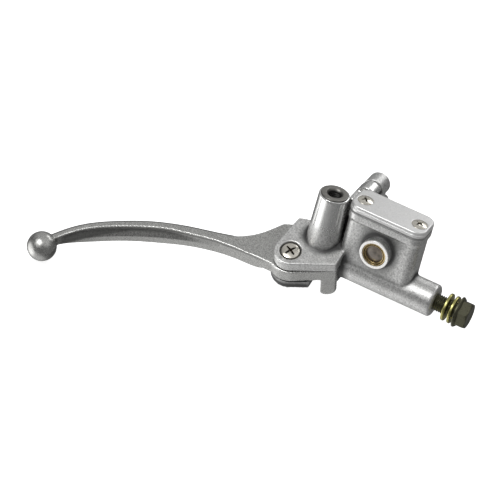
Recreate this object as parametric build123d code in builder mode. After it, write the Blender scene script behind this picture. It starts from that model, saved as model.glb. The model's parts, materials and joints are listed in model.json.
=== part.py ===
from build123d import *
import os
from math import cos, radians, sin

os.makedirs("parts", exist_ok=True)

# Hydraulic front brake master cylinder with its hand lever, for a 22.2 mm handlebar.
# Frame: the origin is the centre of the handlebar clamp. +X runs along the bar towards the
# middle of the vehicle, +Y points at the rider and +Z is up. All sizes are millimetres.
# A "station" is a distance along the cylinder bore, from the lever pivot towards the hose end.

# ---------------------------------------------------------------- driving dimensions
# Where the bore and the lever pivot lie, seen from the centre of the clamp
bore_ahead = 22.9
bore_below = 17.5
pivot_outboard = 24.0

# Handlebar clamp
bar_d = 22.2
clamp_width = 13.0
clamp_band = 4.5
clamp_gap = 1.0
clamp_bolt_offset = 6.7
clamp_bolt_pitch = bar_d + 2 * clamp_bolt_offset
clamp_boss_d = 12.8
clamp_boss_back = 10.7
web_inset = 3.6
clamp_bolt_d = 6.0
clamp_bolt_length = 12.0
clamp_bolt_head_d = 10.0
clamp_bolt_head_h = 6.0
clamp_bolt_seat = 3.9
clamp_key = 5.0
clamp_key_depth = 3.2
clamp_bolt_chamfer = 0.6
spring_washer_h = 1.2
spring_washer_d = 9.6

# Cylinder tube, bore and hose end
bore_d = 12.7
tube_d = 19.0
tube_end = 82.9
tube_end_chamfer = 1.2
bore_mouth = 15.0
bore_bottom = 68.9
bore_relief_d = bore_d + 2.7
boot_seat_depth = 3.2
circlip_station = 19.3
circlip_h = 1.1
circlip_groove_d = bore_d + 1.5
circlip_width = 1.3
circlip_mouth = 5.0
stop_washer_h = 1.0
hose_thread_d = 10.0
hose_thread_depth = 10.5
outlet_d = 3.5
supply_port_d = 3.0
supply_port_station = 36.9
relief_port_d = 1.0
relief_port_station = 52.4

# Piston
piston_stroke = 5.93
free_play = 0.3
rod_d = 6.4
piston_core_d = bore_d - 4.9
rear_land = 3.0
cup_room = 3.3
middle_land = 1.5
front_land = 2.0
front_land_station = 45.9
nose_d = 5.2
nose_length = 5.0
cup_length = 3.2
cup_lip = 0.7
spring_wire_d = 1.1
spring_coils = 6
spring_side_gap = 0.9
boot_reach = 4.0
boot_fold = 0.8
boot_wall = 1.5

# Banjo bolt, run in part of the way, with its two loose sealing washers
banjo_shank_d = 9.8
banjo_shank_length = 21.4
banjo_flange_station = 96.5
banjo_flange_d = 17.9
banjo_flange_h = 1.4
banjo_hex_af = 14.0
banjo_hex_h = 6.0
banjo_passage_d = 4.0
banjo_passage_stop = 3.0
banjo_lead = 0.8
banjo_hex_chamfer = 0.7
crush_washer_d = 16.2
crush_washer_h = 1.6
crush_washer_chamfer = 0.25
crush_washer_stations = (89.4, 93.2)

# Reservoir
tank_station = 44.9
tank_length = 44.6
tank_front = 8.0
tank_back = 10.0
tank_corner = 5.0
tank_wall = 2.5
tank_floor = 9.4
tank_top = 38.1
flange_overhang = 0.7
flange_length = tank_length + 2 * flange_overhang
flange_front = 9.3
flange_back = 12.7
flange_h = 4.9
flange_corner = 6.3
lid_screw_inset = 5.6
lid_screw_pitch = tank_length - 2 * lid_screw_inset
lid_screw_ahead = 1.1
lid_screw_d = 5.0
lid_screw_length = 14.0
lid_screw_head_d = 9.2
screw_column_d = 8.6
lid_screw_dome = 0.8
lid_screw_cross = 4.6
lid_screw_slot = 0.9
lid_screw_recess = 1.6

# Lid, diaphragm and the plate between them
lid_gap = 0.3
lid_h = 3.9
lid_step = 0.7
lid_step_h = 1.9
lid_end_step = 0.15
lid_rim = 1.5
diaphragm_h = 1.0
diaphragm_bag_depth = 10.0
diaphragm_bag_length = lid_screw_pitch - 13.4
diaphragm_bag_width = 10.4
bag_corner = 3.0
plate_h = 0.7
plate_vent_d = 3.0

# Sight glass
glass_station = 44.9
glass_height = 20.6
glass_boss_d = 17.5
glass_boss_reach = 5.5
glass_boss_root = 1.0
glass_ring_d = 14.0
glass_bore_d = glass_ring_d + 0.2
glass_ring_bore_d = 10.3
glass_ring_h = 1.6
glass_ring_recess = 0.4
glass_lens_h = 2.6
glass_seal_h = 1.0
glass_window_d = 9.0

# Mirror boss
mirror_station = 11.6
mirror_ahead = 4.5
mirror_boss_d = 17.6
mirror_boss_top = 41.0
mirror_boss_foot = 4.0
mirror_boss_draft = 1.6
mirror_thread_d = 6.8
mirror_thread_depth = 22.0
mirror_chamfer = 1.2

# Lever fork; it and the lever lean forwards together about the bore
lever_tilt = 23.0
pivot_arm = 17.0
fork_rise = 1.2
slot_play = 1.4
upper_ear = 6.8
lower_ear = 4.6
ear_radius = 9.4
lower_ear_radius = 10.8
nose_turn = 35.0
ear_slope = 28.0
ear_end = 26.8
lower_ear_end = 14.4
fork_left = 6.4
fork_back_round = 11.8
slot_back = 23.7
stop_wall = 6.9
pivot_d = 6.0
pivot_head_d = 10.5
pivot_head_h = 3.0
pivot_cross = 5.4
pivot_cross_slot = 1.1
pivot_cross_depth = 1.8
pivot_counterbore_d = 12.2
pivot_counterbore_depth = 2.6
pivot_nut_af = 10.0
pivot_nut_h = 8.4
pivot_nut_turn = 12.0
pivot_nut_chamfer = 0.5
pivot_screw_end = 0.6

# Lever
lever_h = 8.7
slot_h = lever_h + slot_play
lever_front = 10.2
lever_slope = 32.0
nose_mid = 6.0
lever_end = 26.7
stop_gap = 0.3
knocker_r = 5.0
heel = (-11.2, 20.2)
tab_width = 7.4
tab_drop = 19.0
tab_corner = 3.5
ball_d = 17.0
ball_place = (-126.8, -58.4)
# Front and back edges of the root plate, from the blade inwards: along, across
root_front = ((-38.6, -9.7), (-29.9, -8.9), (-17.9, -8.5), (-7.1, -8.5))
root_back = ((-14.5, 18.4), (-17.8, 13.3), (-23.1, 6.3), (-29.2, 1.0), (-38.6, -3.9))
# Blade ridge: along, across, height, then facet behind it, depth below it, bulge ahead of it
blade_back = 2.6
blade_lip = 1.1
blade_hollow = 0.35
blade_band = 0.24
blade_fullness = 0.85
blade_sections = (
    (-11.8, -8.3, 4.35, 6.0, 8.8, 0.0),
    (-17.9, -8.5, 4.35, 8.0, 11.8, 0.0),
    (-29.9, -8.9, 4.35, 7.2, 11.9, 0.1),
    (-41.4, -10.0, 4.4, 5.0, 12.0, 0.4),
    (-52.3, -12.2, 4.55, 4.3, 11.8, 1.0),
    (-65.8, -15.4, 4.7, 3.5, 11.7, 2.6),
    (-78.3, -20.1, 4.75, 3.3, 11.7, 3.2),
    (-98.2, -30.8, 4.7, 3.0, 11.0, 3.2),
    (-112.0, -41.0, 4.3, 2.8, 9.5, 2.7),
    (-118.6, -48.2, 3.6, 2.8, 7.0, 1.8),
    (-122.6, -53.4, 3.2, 2.8, 6.2, 1.2),
)

# Clearances, all radial or per side
running_clearance = 0.04
thread_clearance = 0.05
screw_clearance = 0.3
washer_clearance = 0.2
seal_clearance = 0.05
small_edge = 0.5
seat_gap = 0.05

# ---------------------------------------------------------------- places worked out from them
tank_mid = (tank_back - tank_front) / 2
flange_mid = (flange_back - flange_front) / 2
flange_depth = flange_front + flange_back
screw_line = flange_mid - lid_screw_ahead
lid_bottom = tank_top + lid_gap
lid_top = lid_bottom + lid_h
stack_top = tank_top + diaphragm_h + plate_h
fork_top = slot_h / 2 + upper_ear
fork_bottom = -slot_h / 2 - lower_ear
washer_station = circlip_station + circlip_h
piston_station = washer_station + stop_washer_h
piston_d = bore_d - 2 * running_clearance
cup_d = bore_d - 2 * seal_clearance
primary_cup_station = front_land_station + front_land
secondary_cup_station = piston_station + rear_land
spring_station = primary_cup_station + cup_length + seal_clearance
tilt = radians(lever_tilt)
web_front = web_inset - bore_ahead
web_top = clamp_bolt_pitch / 2 + clamp_boss_d / 6
web_bottom = -clamp_bolt_pitch / 2
pivot_place = Vector(
    -pivot_outboard,
    -bore_ahead - pivot_arm * cos(tilt) - fork_rise * sin(tilt),
    -bore_below - pivot_arm * sin(tilt) + fork_rise * cos(tilt),
)


def across_bore(station):
    """Plane square to the bore: its x is +Y, its y is +Z and it faces the hose end."""
    origin = (station - pivot_outboard, -bore_ahead, -bore_below)
    return Plane(origin=origin, x_dir=(0, 1, 0), z_dir=(1, 0, 0))


def level(height):
    """Horizontal plane at a height above the bore axis: its x is the station, its y is +Y."""
    return Plane(origin=(-pivot_outboard, -bore_ahead, height - bore_below))


def facing_front(back):
    """Upright plane this far behind the bore axis, facing forwards: its x is the station."""
    origin = (-pivot_outboard, back - bore_ahead, -bore_below)
    return Plane(origin=origin, x_dir=(1, 0, 0), z_dir=(0, -1, 0))


def lever_plane(height):
    """Leaning plane of the lever, centred on the pivot: its x is +X and its z is the pivot."""
    middle = Plane(origin=pivot_place, x_dir=(1, 0, 0), z_dir=(0, -sin(tilt), cos(tilt)))
    return middle.offset(height)


def across_lever(station):
    """Plane square to X through the pivot's axis: x goes back across the lever, y up it."""
    origin = pivot_place + Vector(station, 0, 0)
    return Plane(origin=origin, x_dir=(0, cos(tilt), sin(tilt)), z_dir=(1, 0, 0))


def clamp_plane(behind):
    """Upright plane this far behind the bar's centre, facing the rider: x is -X, y is +Z."""
    return Plane(origin=(0, behind, 0), x_dir=(-1, 0, 0), z_dir=(0, 1, 0))


def nose_point(radius, slope):
    """Point where a front edge of that slope leaves a round nose of that radius."""
    angle = radians(slope - 90)
    return (radius * cos(angle), radius * sin(angle))


def along_front(station, radius, slope):
    """Point at a station on the straight front edge that leaves that nose."""
    start = nose_point(radius, slope)
    rise = (station - start[0]) * sin(radians(slope)) / cos(radians(slope))
    return (station, start[1] + rise)


def save(part, name):
    """Label one finished piece and write it to its own file."""
    part.label = name
    export_step(part, f"parts/{name}.step")


# ---------------------------------------------------------------- body casting
with BuildPart() as master_cylinder_body:
    # Lever fork: two ears seen along the pivot, the lower one longer, rounded behind
    fork_back = pivot_arm + fork_back_round
    for nose_r, face in ((ear_radius, fork_top), (lower_ear_radius, fork_bottom)):
        with BuildSketch(lever_plane(0)):
            with BuildLine():
                nose_end = nose_point(nose_r, ear_slope)
                Polyline(
                    nose_end,
                    along_front(ear_end, nose_r, ear_slope),
                    (ear_end, fork_back),
                    (fork_left, fork_back),
                    (-fork_left, pivot_arm + knocker_r),
                    (-nose_r, 0),
                )
                ThreePointArc((-nose_r, 0), nose_point(nose_r, -nose_turn), nose_end)
            make_face()
        extrude(amount=face)
    with BuildSketch(across_lever(-2 * ear_radius)):
        with Locations((0, (fork_top + fork_bottom) / 2)):
            Rectangle(2 * pivot_arm, fork_top - fork_bottom)
        with Locations((pivot_arm, (fork_top + fork_bottom) / 2)):
            Circle(fork_back_round)
    extrude(amount=ear_end + 3 * ear_radius, mode=Mode.INTERSECT)

    # Tube round the bore
    with BuildSketch(across_bore(bore_mouth)):
        Circle(tube_d / 2)
    extrude(amount=tube_end - bore_mouth)
    chamfer(
        master_cylinder_body.faces().sort_by(Axis.X)[-1].edges(),
        length=tube_end_chamfer,
    )

    # Reservoir walls and the flange round its mouth
    with BuildSketch(level(0)):
        with Locations((tank_station, tank_mid)):
            RectangleRounded(tank_length, tank_front + tank_back, tank_corner)
    extrude(amount=tank_top - flange_h / 2)
    with BuildSketch(level(tank_top - flange_h)):
        with Locations((tank_station, flange_mid)):
            RectangleRounded(flange_length, flange_depth, flange_corner)
    extrude(amount=flange_h)

    # Mirror boss, drafted towards its top
    with BuildSketch(level(mirror_boss_top)):
        with Locations((mirror_station, -mirror_ahead)):
            Circle(mirror_boss_d / 2)
    extrude(amount=mirror_boss_foot - mirror_boss_top, taper=-mirror_boss_draft)

    # Sight glass boss on the front wall, wider at its root
    with BuildSketch(facing_front(-tank_front + glass_boss_root)):
        with Locations((glass_station, glass_height)):
            Circle(glass_boss_d / 2)
    extrude(amount=glass_boss_reach + glass_boss_root)

    # Clamp half: web, band and the two bolt bosses
    web_depth = -clamp_gap / 2 - web_front
    with BuildSketch(Plane.YZ.offset(-clamp_width / 2)):
        with Locations((web_front + web_depth / 2, (web_top + web_bottom) / 2)):
            Rectangle(web_depth, web_top - web_bottom)
        Circle(bar_d / 2 + clamp_band, mode=Mode.ADD)
        with Locations((bar_d / 2 + clamp_band - clamp_gap / 2, 0)):
            Rectangle(bar_d + 2 * clamp_band, 3 * bar_d, mode=Mode.SUBTRACT)
    extrude(amount=clamp_width)
    with BuildSketch(clamp_plane(-clamp_gap / 2)):
        with Locations((0, clamp_bolt_pitch / 2), (0, -clamp_bolt_pitch / 2)):
            Circle(clamp_boss_d / 2)
    extrude(amount=-(bore_ahead - flange_back - clamp_gap / 2 - lid_gap))
    with BuildSketch(clamp_plane(-clamp_gap / 2)):
        with Locations((0, -clamp_bolt_pitch / 2)):
            Circle(clamp_boss_d / 2)
    extrude(amount=-(bore_ahead - tube_d / 2))

    # Handlebar bore, open at the split
    with BuildSketch(Plane.YZ.offset(-clamp_width)):
        Circle(bar_d / 2)
    extrude(amount=2 * clamp_width, mode=Mode.SUBTRACT)

    # Slot for the lever, with a stop wall behind the lever's short arm
    with BuildSketch(lever_plane(-slot_h / 2)):
        with BuildLine():
            Polyline(
                (-4 * ear_radius, -2 * ear_radius),
                (2 * ear_end, -2 * ear_radius),
                (2 * ear_end, stop_wall),
                (bore_mouth, stop_wall),
                (bore_mouth, slot_back),
                (-4 * ear_radius, slot_back),
                close=True,
            )
        make_face()
    extrude(amount=slot_h, mode=Mode.SUBTRACT)

    # The lower ear stops short to let the lever's tab hang beside it
    with BuildSketch(lever_plane(-slot_h / 2)):
        with BuildLine():
            Polyline(
                (lower_ear_end, -2 * ear_radius),
                (2 * ear_end, -2 * ear_radius),
                (2 * ear_end, stop_wall),
                (lower_ear_end, stop_wall),
                close=True,
            )
        make_face()
    extrude(amount=-2 * lower_ear, mode=Mode.SUBTRACT)

    # Bore, its machined relief through the fork, boot seat and circlip groove
    for start, end, diameter in (
        (-2 * ear_radius, bore_mouth + boot_seat_depth, bore_relief_d),
        (bore_mouth, bore_bottom, bore_d),
        (circlip_station, circlip_station + circlip_h, circlip_groove_d),
        (bore_bottom, tube_end, outlet_d),
        (tube_end - hose_thread_depth, tube_end, hose_thread_d),
    ):
        with BuildSketch(across_bore(start)):
            Circle(diameter / 2)
        extrude(amount=end - start, mode=Mode.SUBTRACT)

    # Reservoir inside, round its two screw columns, and the ports down into the bore
    with BuildSketch(level(tank_floor)):
        with Locations((tank_station, tank_mid)):
            RectangleRounded(
                tank_length - 2 * tank_wall,
                tank_front + tank_back - 2 * tank_wall,
                tank_corner - tank_wall,
            )
        for side in (-1, 1):
            with Locations((tank_station + side * lid_screw_pitch / 2, screw_line)):
                Circle(screw_column_d / 2, mode=Mode.SUBTRACT)
    extrude(amount=tank_top - tank_floor, mode=Mode.SUBTRACT)
    for station, diameter in (
        (supply_port_station, supply_port_d),
        (relief_port_station, relief_port_d),
    ):
        with BuildSketch(level(0)):
            with Locations((station, 0)):
                Circle(diameter / 2)
        extrude(amount=tank_floor + 1, mode=Mode.SUBTRACT)

    # Holes for the lid screws
    with BuildSketch(level(tank_top)):
        for side in (-1, 1):
            with Locations((tank_station + side * lid_screw_pitch / 2, screw_line)):
                Circle(lid_screw_d / 2 + thread_clearance)
    extrude(amount=-lid_screw_length, mode=Mode.SUBTRACT)

    # Sight glass bore and window
    with BuildSketch(facing_front(-tank_front - glass_boss_reach)):
        with Locations((glass_station, glass_height)):
            Circle(glass_bore_d / 2)
    glass_depth = glass_ring_recess + glass_ring_h + glass_lens_h + glass_seal_h
    extrude(amount=-glass_depth, mode=Mode.SUBTRACT)
    with BuildSketch(facing_front(-tank_front - glass_boss_reach)):
        with Locations((glass_station, glass_height)):
            Circle(glass_window_d / 2)
    extrude(amount=-(glass_boss_reach + tank_wall + 1), mode=Mode.SUBTRACT)

    # Threaded hole for the mirror stem
    with BuildSketch(level(mirror_boss_top)):
        with Locations((mirror_station, -mirror_ahead)):
            Circle(mirror_thread_d / 2)
    extrude(amount=-mirror_thread_depth, mode=Mode.SUBTRACT)
    with BuildSketch(level(mirror_boss_top)):
        with Locations((mirror_station, -mirror_ahead)):
            Circle(mirror_thread_d / 2 + mirror_chamfer)
    extrude(amount=-mirror_chamfer, taper=45, mode=Mode.SUBTRACT)

    # Pivot hole through both ears, counterbored for the screw head
    with BuildSketch(lever_plane(fork_top)):
        Circle(pivot_d / 2 + running_clearance)
    extrude(amount=fork_bottom - fork_top, mode=Mode.SUBTRACT)
    with BuildSketch(lever_plane(fork_top)):
        Circle(pivot_counterbore_d / 2)
    extrude(amount=-pivot_counterbore_depth, mode=Mode.SUBTRACT)

    # Threaded holes for the clamp bolts
    clamp_thread_depth = clamp_bolt_length - clamp_bolt_seat - spring_washer_h + clamp_gap
    with BuildSketch(clamp_plane(-clamp_gap / 2)):
        with Locations((0, clamp_bolt_pitch / 2), (0, -clamp_bolt_pitch / 2)):
            Circle(clamp_bolt_d / 2 + thread_clearance)
    extrude(amount=-clamp_thread_depth, mode=Mode.SUBTRACT)
save(master_cylinder_body.part, "master_cylinder_body")


# ---------------------------------------------------------------- reservoir lid and its seals
with BuildPart() as reservoir_lid:
    with BuildSketch(level(lid_bottom)):
        with Locations((tank_station, flange_mid)):
            RectangleRounded(flange_length, flange_depth, flange_corner)
    extrude(amount=lid_h - lid_step_h)
    with BuildSketch(level(lid_top - lid_step_h)):
        with Locations((tank_station, flange_mid)):
            RectangleRounded(
                flange_length - 2 * lid_end_step,
                flange_depth - 2 * lid_step,
                flange_corner - lid_end_step,
            )
    extrude(amount=lid_step_h)
    chamfer(reservoir_lid.faces().sort_by(Axis.Z)[-1].edges(), length=small_edge)
    with BuildSketch(level(lid_bottom)):
        with Locations((tank_station, flange_mid)):
            RectangleRounded(
                flange_length - 2 * lid_rim,
                flange_depth - 2 * lid_rim,
                flange_corner - lid_rim,
            )
    extrude(amount=stack_top - lid_bottom, mode=Mode.SUBTRACT)
    for side in (-1, 1):
        with BuildSketch(level(lid_top)):
            with Locations((tank_station + side * lid_screw_pitch / 2, screw_line)):
                Circle(lid_screw_d / 2 + screw_clearance)
        extrude(amount=-lid_h, mode=Mode.SUBTRACT)
        with BuildSketch(level(lid_top)):
            with Locations((tank_station + side * lid_screw_pitch / 2, screw_line)):
                Circle(lid_screw_head_d / 2 + thread_clearance)
        extrude(amount=-(lid_screw_head_d - lid_screw_d) / 2, taper=45, mode=Mode.SUBTRACT)
save(reservoir_lid.part, "reservoir_lid")

stack_length = flange_length - 2 * lid_rim - 2 * washer_clearance
stack_depth = flange_depth - 2 * lid_rim - 2 * washer_clearance
stack_corner = flange_corner - lid_rim - washer_clearance

with BuildPart() as diaphragm:
    with BuildSketch(level(tank_top)):
        with Locations((tank_station, flange_mid)):
            RectangleRounded(stack_length, stack_depth, stack_corner)
    extrude(amount=diaphragm_h)
    with BuildSketch(level(tank_top)):
        with Locations((tank_station, tank_mid)):
            RectangleRounded(diaphragm_bag_length, diaphragm_bag_width, bag_corner)
    extrude(amount=-diaphragm_bag_depth)
    with BuildSketch(level(tank_top + diaphragm_h)):
        with Locations((tank_station, tank_mid)):
            RectangleRounded(
                diaphragm_bag_length - 2 * diaphragm_h,
                diaphragm_bag_width - 2 * diaphragm_h,
                bag_corner - diaphragm_h,
            )
    extrude(amount=-diaphragm_bag_depth, mode=Mode.SUBTRACT)
    with BuildSketch(level(tank_top + diaphragm_h)):
        for side in (-1, 1):
            with Locations((tank_station + side * lid_screw_pitch / 2, screw_line)):
                Circle(lid_screw_d / 2 + screw_clearance)
    extrude(amount=-diaphragm_h, mode=Mode.SUBTRACT)
save(diaphragm.part, "diaphragm")

with BuildPart() as diaphragm_plate:
    with BuildSketch(level(tank_top + diaphragm_h)):
        with Locations((tank_station, flange_mid)):
            RectangleRounded(stack_length, stack_depth, stack_corner)
            Circle(plate_vent_d / 2, mode=Mode.SUBTRACT)
        for side in (-1, 1):
            with Locations((tank_station + side * lid_screw_pitch / 2, screw_line)):
                Circle(lid_screw_d / 2 + screw_clearance, mode=Mode.SUBTRACT)
    extrude(amount=plate_h)
save(diaphragm_plate.part, "diaphragm_plate")

# Raised countersunk cross-recess screws
lid_screw_cone_h = (lid_screw_head_d - lid_screw_d) / 2
with BuildPart() as lid_screws:
    for side in (-1, 1):
        station = tank_station + side * lid_screw_pitch / 2
        with BuildSketch(level(lid_top)):
            with Locations((station, screw_line)):
                Circle(lid_screw_head_d / 2)
        extrude(amount=-lid_screw_cone_h, taper=45)
        with BuildSketch(level(lid_top)):
            with Locations((station, screw_line)):
                Circle(lid_screw_head_d / 2)
        extrude(amount=lid_screw_dome, taper=30)
        with BuildSketch(level(lid_top - lid_screw_cone_h + thread_clearance)):
            with Locations((station, screw_line)):
                Circle(lid_screw_d / 2)
        extrude(amount=-lid_screw_length)
        with BuildSketch(level(lid_top + lid_screw_dome)):
            with Locations((station, screw_line)):
                Rectangle(lid_screw_cross, lid_screw_slot)
                Rectangle(lid_screw_slot, lid_screw_cross)
        extrude(amount=-lid_screw_recess, mode=Mode.SUBTRACT)
save(lid_screws.part, "lid_screws")

# ---------------------------------------------------------------- sight glass
glass_face = -tank_front - glass_boss_reach + glass_ring_recess

with BuildPart() as sight_glass_ring:
    with BuildSketch(facing_front(glass_face)):
        with Locations((glass_station, glass_height)):
            Circle(glass_ring_d / 2)
            Circle(glass_ring_bore_d / 2, mode=Mode.SUBTRACT)
    extrude(amount=-glass_ring_h)
save(sight_glass_ring.part, "sight_glass_ring")

with BuildPart() as sight_glass_lens:
    with BuildSketch(facing_front(glass_face + glass_ring_h)):
        with Locations((glass_station, glass_height)):
            Circle(glass_ring_d / 2)
    extrude(amount=-glass_lens_h)
save(sight_glass_lens.part, "sight_glass_lens")

with BuildPart() as sight_glass_seal:
    with BuildSketch(facing_front(glass_face + glass_ring_h + glass_lens_h)):
        with Locations((glass_station, glass_height)):
            Circle(glass_ring_d / 2)
            Circle(glass_window_d / 2, mode=Mode.SUBTRACT)
    extrude(amount=-glass_seal_h)
save(sight_glass_seal.part, "sight_glass_seal")

# ---------------------------------------------------------------- piston set
with BuildPart() as piston:
    stack = (
        (knocker_r + free_play, piston_station, rod_d),
        (piston_station, piston_station + rear_land, piston_d),
        (
            piston_station + rear_land,
            piston_station + rear_land + cup_room,
            piston_core_d,
        ),
        (
            piston_station + rear_land + cup_room,
            piston_station + rear_land + cup_room + middle_land,
            piston_d,
        ),
        (
            piston_station + rear_land + cup_room + middle_land,
            front_land_station,
            piston_core_d,
        ),
        (front_land_station, front_land_station + front_land, piston_d),
        (
            front_land_station + front_land,
            front_land_station + front_land + nose_length,
            nose_d,
        ),
    )
    for start, end, diameter in stack:
        with BuildSketch(across_bore(start)):
            Circle(diameter / 2)
        extrude(amount=end - start)
    chamfer(piston.faces().sort_by(Axis.X)[0].edges(), length=small_edge)
save(piston.part, "piston")


def cup(station, inner_d):
    """Lipped rubber cup round the piston, its lip facing the hose end."""
    with BuildPart() as ring:
        with BuildSketch(across_bore(station)):
            Circle(cup_d / 2)
            Circle(inner_d / 2 + seal_clearance, mode=Mode.SUBTRACT)
        extrude(amount=cup_length)
        with BuildSketch(across_bore(station + cup_length)):
            Circle(cup_d / 2 - cup_lip)
            Circle(inner_d / 2 + cup_lip, mode=Mode.SUBTRACT)
        extrude(amount=-cup_length / 2, mode=Mode.SUBTRACT)
    return ring.part


save(cup(primary_cup_station, nose_d), "primary_cup")
save(cup(secondary_cup_station, piston_core_d), "secondary_cup")

spring_length = bore_bottom - seal_clearance - spring_station
spring_r = bore_d / 2 - spring_side_gap - spring_wire_d / 2
with BuildPart() as return_spring:
    with BuildLine() as wire:
        Helix(
            pitch=(spring_length - spring_wire_d) / spring_coils,
            height=spring_length - spring_wire_d,
            radius=spring_r,
            center=across_bore(spring_station + spring_wire_d / 2).origin,
            direction=(1, 0, 0),
        )
    with BuildSketch(Plane(origin=wire.line @ 0, z_dir=wire.line % 0)):
        Circle(spring_wire_d / 2)
    sweep()
save(return_spring.part, "return_spring")

with BuildPart() as circlip:
    with BuildSketch(across_bore(circlip_station + seat_gap)):
        Circle(circlip_groove_d / 2 - 2 * seat_gap)
        Circle(bore_d / 2 - circlip_width, mode=Mode.SUBTRACT)
        with Locations((-bore_d / 2, 0)):
            Rectangle(bore_d / 2, circlip_mouth, mode=Mode.SUBTRACT)
    extrude(amount=circlip_h - 2 * seat_gap)
save(circlip.part, "circlip")

with BuildPart() as stop_washer:
    with BuildSketch(across_bore(washer_station)):
        Circle(bore_d / 2 - running_clearance)
        Circle(rod_d / 2 + washer_clearance, mode=Mode.SUBTRACT)
    extrude(amount=stop_washer_h - seat_gap)
save(stop_washer.part, "stop_washer")

# Bellows boot: a profile in the half plane through the bore, turned round the bore
boot_start = bore_mouth - boot_reach
boot_end = bore_mouth + boot_seat_depth - 2 * seat_gap
boot_inner = rod_d / 2 + washer_clearance
boot_outer = bore_relief_d / 2 - 2 * seat_gap
with BuildPart() as dust_boot:
    with BuildSketch(facing_front(0)):
        with BuildLine():
            Polyline(
                (boot_start, boot_inner),
                (boot_start, boot_inner + boot_wall),
                (boot_start + 1.5 * boot_fold, boot_inner + boot_wall),
                (boot_start + 2.5 * boot_fold, boot_inner + boot_wall + boot_fold),
                (boot_start + 3.5 * boot_fold, boot_inner + boot_wall),
                (boot_start + 4.5 * boot_fold, boot_inner + boot_wall + 1.5 * boot_fold),
                (bore_mouth + seat_gap, boot_outer),
                (boot_end, boot_outer),
                (boot_end, boot_outer - boot_wall),
                (bore_mouth + boot_wall / 2, boot_outer - boot_wall),
                (bore_mouth, boot_inner + boot_wall),
                (boot_start + 3.5 * boot_fold, boot_inner + boot_wall / 3),
                (boot_start + 2.5 * boot_fold, boot_inner + boot_wall),
                (boot_start + 1.5 * boot_fold, boot_inner),
                close=True,
            )
        make_face()
    revolve(axis=Axis((-pivot_outboard, -bore_ahead, -bore_below), (1, 0, 0)))
save(dust_boot.part, "dust_boot")

# ---------------------------------------------------------------- hose end
with BuildPart() as banjo_bolt:
    shank_start = banjo_flange_station - banjo_shank_length
    with BuildSketch(across_bore(shank_start)):
        Circle(banjo_shank_d / 2)
    extrude(amount=banjo_shank_length)
    chamfer(banjo_bolt.faces().sort_by(Axis.X)[0].edges(), length=banjo_lead)
    with BuildSketch(across_bore(banjo_flange_station)):
        Circle(banjo_flange_d / 2)
    extrude(amount=banjo_flange_h)
    with BuildSketch(across_bore(banjo_flange_station + banjo_flange_h)):
        RegularPolygon(banjo_hex_af / 2, 6, major_radius=False)
    extrude(amount=banjo_hex_h)
    chamfer(banjo_bolt.faces().sort_by(Axis.X)[-1].edges(), length=banjo_hex_chamfer)
    with BuildSketch(across_bore(shank_start)):
        Circle(banjo_passage_d / 2)
    extrude(amount=banjo_shank_length - banjo_passage_stop, mode=Mode.SUBTRACT)
save(banjo_bolt.part, "banjo_bolt")

for place, station in zip(("inner", "outer"), crush_washer_stations):
    with BuildPart() as crush_washer:
        with BuildSketch(across_bore(station)):
            Circle(crush_washer_d / 2)
            Circle(banjo_shank_d / 2 + washer_clearance, mode=Mode.SUBTRACT)
        extrude(amount=crush_washer_h)
        chamfer(crush_washer.edges().filter_by(GeomType.CIRCLE), length=crush_washer_chamfer)
    save(crush_washer.part, f"crush_washer_{place}")

# ---------------------------------------------------------------- handlebar clamp cap
with BuildPart() as clamp_cap:
    with BuildSketch(Plane.YZ.offset(-clamp_width / 2)):
        Circle(bar_d / 2 + clamp_band)
        with Locations((clamp_gap / 2 + clamp_band / 2, 0)):
            Rectangle(clamp_band, clamp_bolt_pitch)
        with Locations((clamp_gap / 2 - bar_d, 0)):
            Rectangle(2 * bar_d, 3 * bar_d, mode=Mode.SUBTRACT)
    extrude(amount=clamp_width)
    with BuildSketch(clamp_plane(clamp_gap / 2)):
        with Locations((0, clamp_bolt_pitch / 2), (0, -clamp_bolt_pitch / 2)):
            Circle(clamp_boss_d / 2)
    extrude(amount=clamp_boss_back - clamp_gap / 2)
    with BuildSketch(Plane.YZ.offset(-clamp_width)):
        Circle(bar_d / 2)
    extrude(amount=2 * clamp_width, mode=Mode.SUBTRACT)
    with BuildSketch(clamp_plane(0)):
        with Locations((0, clamp_bolt_pitch / 2), (0, -clamp_bolt_pitch / 2)):
            Circle(clamp_bolt_d / 2 + screw_clearance)
    extrude(amount=2 * clamp_boss_back, mode=Mode.SUBTRACT)
    with BuildSketch(clamp_plane(clamp_bolt_seat)):
        with Locations((0, clamp_bolt_pitch / 2), (0, -clamp_bolt_pitch / 2)):
            Circle(clamp_bolt_head_d / 2 + washer_clearance)
    extrude(amount=2 * clamp_boss_back, mode=Mode.SUBTRACT)
save(clamp_cap.part, "clamp_cap")

with BuildPart() as clamp_spring_washers:
    with BuildSketch(clamp_plane(clamp_bolt_seat)):
        with Locations((0, clamp_bolt_pitch / 2), (0, -clamp_bolt_pitch / 2)):
            Circle(spring_washer_d / 2)
            Circle(clamp_bolt_d / 2 + washer_clearance, mode=Mode.SUBTRACT)
    extrude(amount=spring_washer_h)
save(clamp_spring_washers.part, "clamp_spring_washers")

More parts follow.
